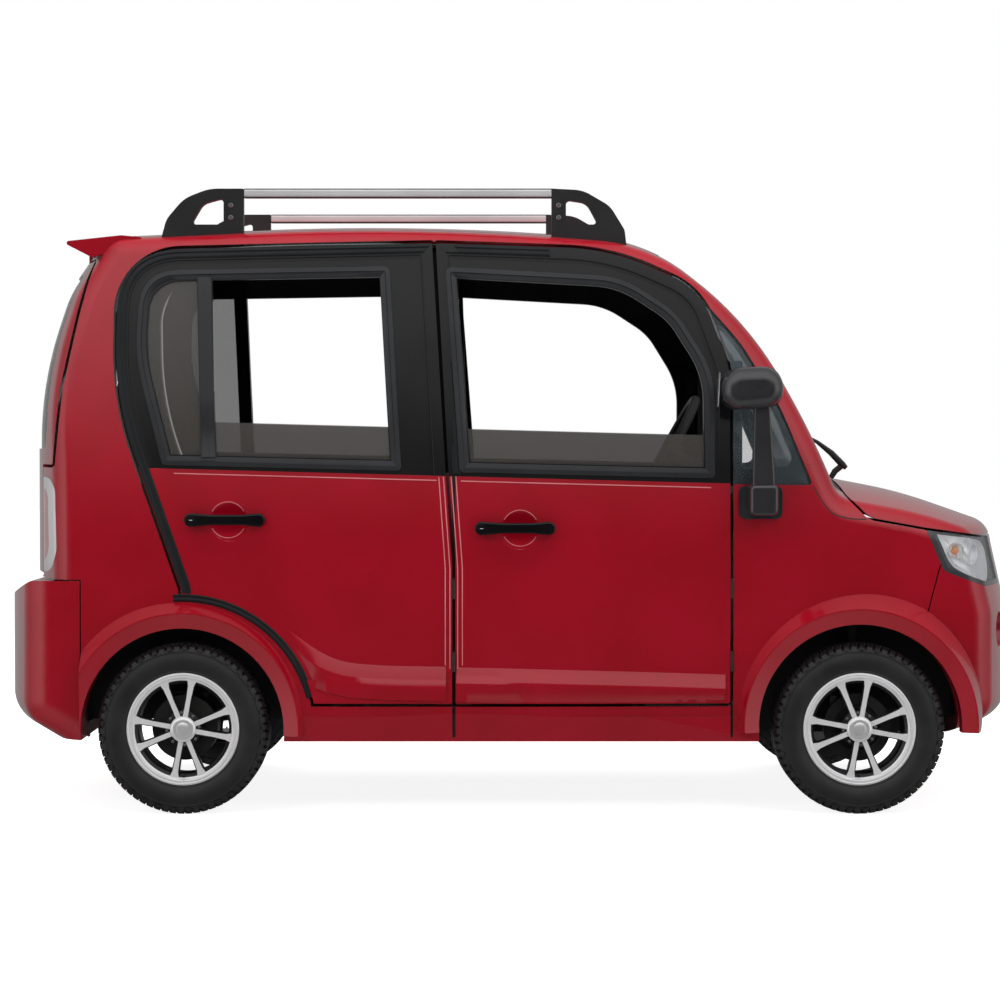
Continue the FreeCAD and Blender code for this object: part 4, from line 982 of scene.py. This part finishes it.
SEAM = [(783, 851), (797, 826), (815, 799), (830, 782), (855, 771), (887, 765), (922, 764)]
SEAM_SECTION = [(-1.8, -0.6), (-1.3, 0.35), (1.3, 0.35), (1.8, -0.6)]
seam = line_strip(stations(SEAM, 6), SEAM_SECTION, lambda x, z: surface(x, z, 3))
pair("cowl_seam", *seam, black_plastic, "body")


# Rims of the finger cups, in two arcs clear of the handle, in the lighter red of painted highlight, and
# locks of the handles

CUP_RIM = [(45.2, -0.6), (45.8, 0.9), (47.2, 0.9), (47.8, -0.6)]
LOCK = [(9.5, -3), (9.5, 0.8), (8.6, 1.6), (7.0, 1.6), (6.6, 0.7), (0.1, 0.7)]
OUTWARDS = (0, -1, 0)
for end, cup_x, cup_z, lock_x in (("rear", -729, 763, -822), ("front", 25, 742, -74)):
    body = "door_" + end + "_%s"
    for name, start, stop in (("upper", 28, 152), ("lower", 208, 332)):
        rim = arc_strip((cup_x, cup_z), CUP_RIM, start, stop, 28, skin)
        pair("cup_rim_" + name + "_" + end, *rim, highlight_paint, body)
    point, _ = side_hit(tree_of(["door_" + end + "_handle_right"]), lock_x, cup_z)
    spot = point * 1000
    pair("door_lock_" + end, *turned(LOCK, spot, OUTWARDS, 32), black_gloss, body)
    slit = brick(spot.x - 4.2, spot.x + 4.2, spot.y - 1.2, spot.y, cup_z - 0.9, cup_z + 0.9, 0.2)
    pair("key_slit_" + end, *slit, rim_bright, body)


# Mirrors: glass, moulding line of the head, bright edge of the foot plate

MIRROR_HEAD = [(534, 1042, 50), (540, 1152, 54), (690, 1158, 54), (699, 1056, 48)]
MIRROR_PLATE = [(590, 849, 18), (700, 849, 18), (700, 767, 18), (590, 767, 18)]
MIRROR_Y = -688
MIRROR_Z = 1098
MIRROR_HALF_WIDTH = 34
MIRROR_HALF_HEIGHT = 46
MIRROR_LEAN = 0.055


def band(corners, rows):
    """Closed strip around a side-view outline; rows are inset and Y."""
    return loft([[(p.x, y, p.y) for p in rounded(moved(corners, inset))] for inset, y in rows], True, True)


def mirror_glass():
    rings = []
    for x, inset in ((530.6, 1.0), (529.9, 2.4), (529.6, 4.0)):
        ring = []
        for across, up in soft_square(48, 5):
            y = MIRROR_Y + (MIRROR_HALF_WIDTH - inset) * across
            z = MIRROR_Z + (MIRROR_HALF_HEIGHT - inset) * up
            ring.append((x + (z - MIRROR_Z) * MIRROR_LEAN, y, z))
        rings.append(ring)
    return loft(rings, caps=True)


head_line = band(MIRROR_HEAD, [(1.0, -676), (-0.9, -675), (-0.9, -671.5), (1.0, -670.5)])
pair("mirror_line", *head_line, black_gloss, "body")
plate_edge = band(MIRROR_PLATE, [(-1.4, -608), (-1.4, -615.2), (2.2, -615.2), (2.2, -608)])
pair("mirror_plate_edge", *plate_edge, mirror_edge, "body")
pair("mirror_glass", *mirror_glass(), chrome, "body", 30.0)


# Roof rails: bright sleeve of the bar, screws through the feet

RAIL_Y = -452
RAIL_Z = 1616
RAIL_HALF_WIDTH = 16
RAIL_HALF_HEIGHT = 11.2
SCREW = [(6.5, -2), (6.5, 1.4), (5.2, 2.4), (3.2, 2.4), (3.0, 1.2), (0.1, 1.2)]
SCREW_Y = -468


def rail_sleeve():
    rings = []
    for x, grow in ((-699, -1.5), (-697, 0.8), (107, 0.8), (109, -1.5)):
        half_width, half_height = RAIL_HALF_WIDTH + grow, RAIL_HALF_HEIGHT + grow
        rings.append([(x, RAIL_Y + half_width * across, RAIL_Z + half_height * up)
                      for across, up in soft_square(40, 6)])
    return loft(rings, caps=True)


pair("rail_bar", *rail_sleeve(), rail_metal, "body", 40.0)
screws = [turned(SCREW, (x, SCREW_Y, z), OUTWARDS, 18) for x in (-733, 127) for z in (1552, 1584)]
pair("rail_screws", *together(*screws), disc_steel, "body")


# Headlamps: inner frame, bowls and bulbs behind the lens

lamp_tree = tree_of(["headlamps"])
LAMP_FRAME = [(1108, 726), (1236, 706), (1264, 650), (1246, 597), (1168, 629), (1141, 652), (1121, 694)]
# Size, depth behind the lens
FRAME_ROWS = [(1.0, 5.0), (0.94, 8.0), (0.86, 15.0), (0.62, 19.0), (0.3, 20.0), (0.02, 20.0)]
BULBS = [
    # name, X, Z, radius of the bowl, depth behind the lens, material of the bulb
    ("main_lamp", 1206, 682, 34, 30, chrome),
    ("side_lamp", 1158, 682, 20, 24, amber),
]


def behind_lens(x, z, depth):
    """Point behind the lens and the lens's direction there, or None beside the lens."""
    point, normal = side_hit(lamp_tree, x, z)
    if point is None:
        return None
    if normal.y >= 0:
        normal = -normal
    return point * 1000 - normal * depth, normal


def lamp_frame():
    outline = smooth_line(LAMP_FRAME + LAMP_FRAME[:1], 6)[:-1]
    middle = sum(outline, Vector((0, 0))) / len(outline)
    rows = []
    for share, depth in FRAME_ROWS:
        row = []
        for p in outline:
            q = middle.lerp(p, share)
            found = behind_lens(q.x, q.y, depth)
            while found is None:
                q = q.lerp(middle, 0.04)
                found = behind_lens(q.x, q.y, depth)
            row.append(tuple(found[0]))
        rows.append(row)
    return loft(rows)


pair("lamp_inner_frame", *lamp_frame(), reflector, "body", 60.0)
for name, x, z, radius, depth, mat in BULBS:
    spot, way = behind_lens(x, z, depth)
    bowl = [(radius * 0.3, 1), (radius * 0.62, 3), (radius * 0.86, 8), (radius, 16), (radius * 1.05, 16),
            (radius * 1.05, 0)]
    pair(name + "_bowl", *turned(bowl, spot, way, 48), reflector, "body", 50.0)
    bulb = [(0.1, 15), (radius * 0.3, 14), (radius * 0.5, 9), (radius * 0.55, 2), (radius * 0.55, 0)]
    pair(name + "_bulb", *turned(bulb, spot, way, 32), mat, "body", 50.0)


# Wiper: cover of the arm and its post

WIPER_POST = [
    # x, y, z, half width, half height
    (868, -240, 866, 7, 9), (879, -240, 884, 8, 10), (900, -240, 901, 8, 10),
]
WIPER_ARM = [
    (909, -240, 893, 6, 9), (898, -241, 903, 9, 11), (868, -243, 934, 8, 9), (830, -248, 963, 5, 6),
    (812, -250, 973, 4, 5),
]


def swept(rows):
    """Bar of soft square section along rows of place and size."""
    rings = []
    places = [Vector(row[:3]) for row in rows]
    for i, here in enumerate(places):
        along = (places[min(i + 1, len(places) - 1)] - places[max(i - 1, 0)]).normalized()
        across = along.cross(Vector((0, 1, 0))).normalized()
        deep = across.cross(along).normalized()
        half_width, half_height = rows[i][3:]
        rings.append([tuple(here + across * half_width * a + deep * half_height * b)
                      for a, b in soft_square(16, 4)])
    return loft(rings, caps=True)


piece("wiper_arm_cover", *together(swept(WIPER_POST), swept(WIPER_ARM)), black_plastic, "body", 50.0)

# Trim of the pillar behind the door's front edge, seen only through the gap
TRIM_THICK = 8
pillar_trim = brick(560, 604, -528 - TRIM_THICK, -528, 850, 1175, TRIM_THICK / 3)
pair("pillar_trim", *pillar_trim, black_plastic, "body")


# Seats: padded pieces blown up as cloth, then seamed

FRONT_CUSHION = [(-110, 300, 20), (-110, 515, 30), (330, 545, 55), (345, 300, 30)]
FRONT_BACK = [(-120, 470, 20), (-215, 865, 45), (-130, 865, 45), (-10, 470, 20)]
REAR_CUSHION = [(-780, 486, 10), (-780, 545, 25), (-420, 560, 50), (-400, 345, 30), (-472, 345, 10),
                (-480, 486, 5)]
REAR_BACK = [(-790, 500, 20), (-880, 865, 45), (-800, 865, 45), (-680, 500, 20)]
PADS = [
    # name, outline, from Y, to Y, lowest height that may swell, seams across Y
    ("front_cushion_right", FRONT_CUSHION, -505, -65, 330, (-435, -135)),
    ("front_back_right", FRONT_BACK, -505, -65, 480, (-435, -135)),
    ("rear_cushion", REAR_CUSHION, -325, 325, 400, (-108, 108)),
    ("rear_back", REAR_BACK, -325, 325, 515, (-108, 108)),
]
PAD_ENDS = [(0.0, 30), (0.02, 16), (0.06, 6)]
PAD_ROWS = (PAD_ENDS + [(0.12 + 0.76 * k / 8, 0) for k in range(9)]
            + [(1.0 - share, inset) for share, inset in PAD_ENDS[::-1]])
PAD_SHRINK = 5.0
VOXEL = 0.011
SWELL_LIMIT = 0.014
CLOTH_FRAMES = 14
SEAM_WIDTH = 5.0
SEAM_DEPTH = 0.007


def sewn_form(corners, y0, y1):
    """Form along Y with both ends rounded off, a little smaller than the pad."""
    rings = []
    for share, inset in PAD_ROWS:
        y = y0 + PAD_SHRINK + (y1 - y0 - 2 * PAD_SHRINK) * share
        rings.append([(p.x, y, p.y) for p in rounded(moved(corners, inset + PAD_SHRINK), 5, 5)])
    return loft(rings, caps=True)


def cloth_pad(name, corners, y0, y1):
    """Closed mesh of even faces, ready to be blown up."""
    verts, faces = sewn_form(corners, y0, y1)
    obj = plain_mesh(name, in_metres(verts), faces)
    mend(obj.data, False)
    even = obj.modifiers.new("even", "REMESH")
    even.mode = "VOXEL"
    even.voxel_size = VOXEL
    graph = bpy.context.evaluated_depsgraph_get()
    data = bpy.data.meshes.new_from_object(obj.evaluated_get(graph))
    obj.modifiers.clear()
    obj.data = data
    data.materials.append(seat_cloth)
    return obj


def blow_up(pads, bases):
    """Lets the pads swell as cloth under pressure, up to the limit and only above their bases."""
    rest = [[v.co.copy() for v in obj.data.vertices] for obj in pads]
    for obj in pads:
        cloth = obj.modifiers.new("cloth", "CLOTH").settings
        cloth.quality = 4
        cloth.mass = 0.3
        cloth.use_pressure = True
        cloth.uniform_pressure_force = 4.0
        cloth.effector_weights.gravity = 0.0
    for number in range(1, CLOTH_FRAMES + 1):
        scene.frame_set(number)
    graph = bpy.context.evaluated_depsgraph_get()
    for obj, before, base in zip(pads, rest, bases):
        blown = obj.evaluated_get(graph).to_mesh()
        after = [v.co.copy() for v in blown.vertices]
        obj.evaluated_get(graph).to_mesh_clear()
        obj.modifiers.clear()
        for vert, was, now in zip(obj.data.vertices, before, after):
            move = now - was
            if move.length > SWELL_LIMIT:
                move = move.normalized() * SWELL_LIMIT
            vert.co = was + move if was.z >= base / 1000.0 else was
    scene.frame_set(1)


def groove(distance):
    return math.exp(-(distance / SEAM_WIDTH) ** 2)


def quilt(data, corners, base, seams, is_back):
    """Presses two seams along the pad and two across between them, none into a cushion's underside."""
    xs, zs, _ = zip(*corners)
    top = max(zs) - 60
    lines = (min(zs) + 150, min(zs) + 290) if is_back else (min(xs) + 170, min(xs) + 310)
    for vert in data.vertices:
        x, y, z = (c * 1000 for c in vert.co)
        press = sum(groove(y - seam) for seam in seams)
        if min(seams) < y < max(seams) and (is_back or z > top):
            along = z if is_back else x
            press += sum(groove(along - line) for line in lines)
        if z < base and not is_back:
            press = 0.0
        vert.co -= vert.normal * SEAM_DEPTH * min(press, 1.0)
    data.shade_smooth()


def seat_piece(obj, replaced):
    finer = obj.modifiers.new("finer", "SUBSURF")
    finer.levels = 1
    finer.render_levels = 1
    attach(obj, "body")
    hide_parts(replaced)


def left_twin(obj):
    data = obj.data.copy()
    for vert in data.vertices:
        vert.co.y = -vert.co.y
    data.flip_normals()
    twin = bpy.data.objects.new(obj.name.replace("_right", "_left"), data)
    scene.collection.objects.link(twin)
    return twin


pads = [cloth_pad(*row[:4]) for row in PADS]
blow_up(pads, [row[4] for row in PADS])
for obj, (name, corners, _, _, base, seams) in zip(pads, PADS):
    quilt(obj.data, corners, base, seams, "back" in name)
    if name.startswith("rear"):
        seat_piece(obj, "rear_seat")
    else:
        seat_piece(obj, "front_seats")
        seat_piece(left_twin(obj), "front_seats")
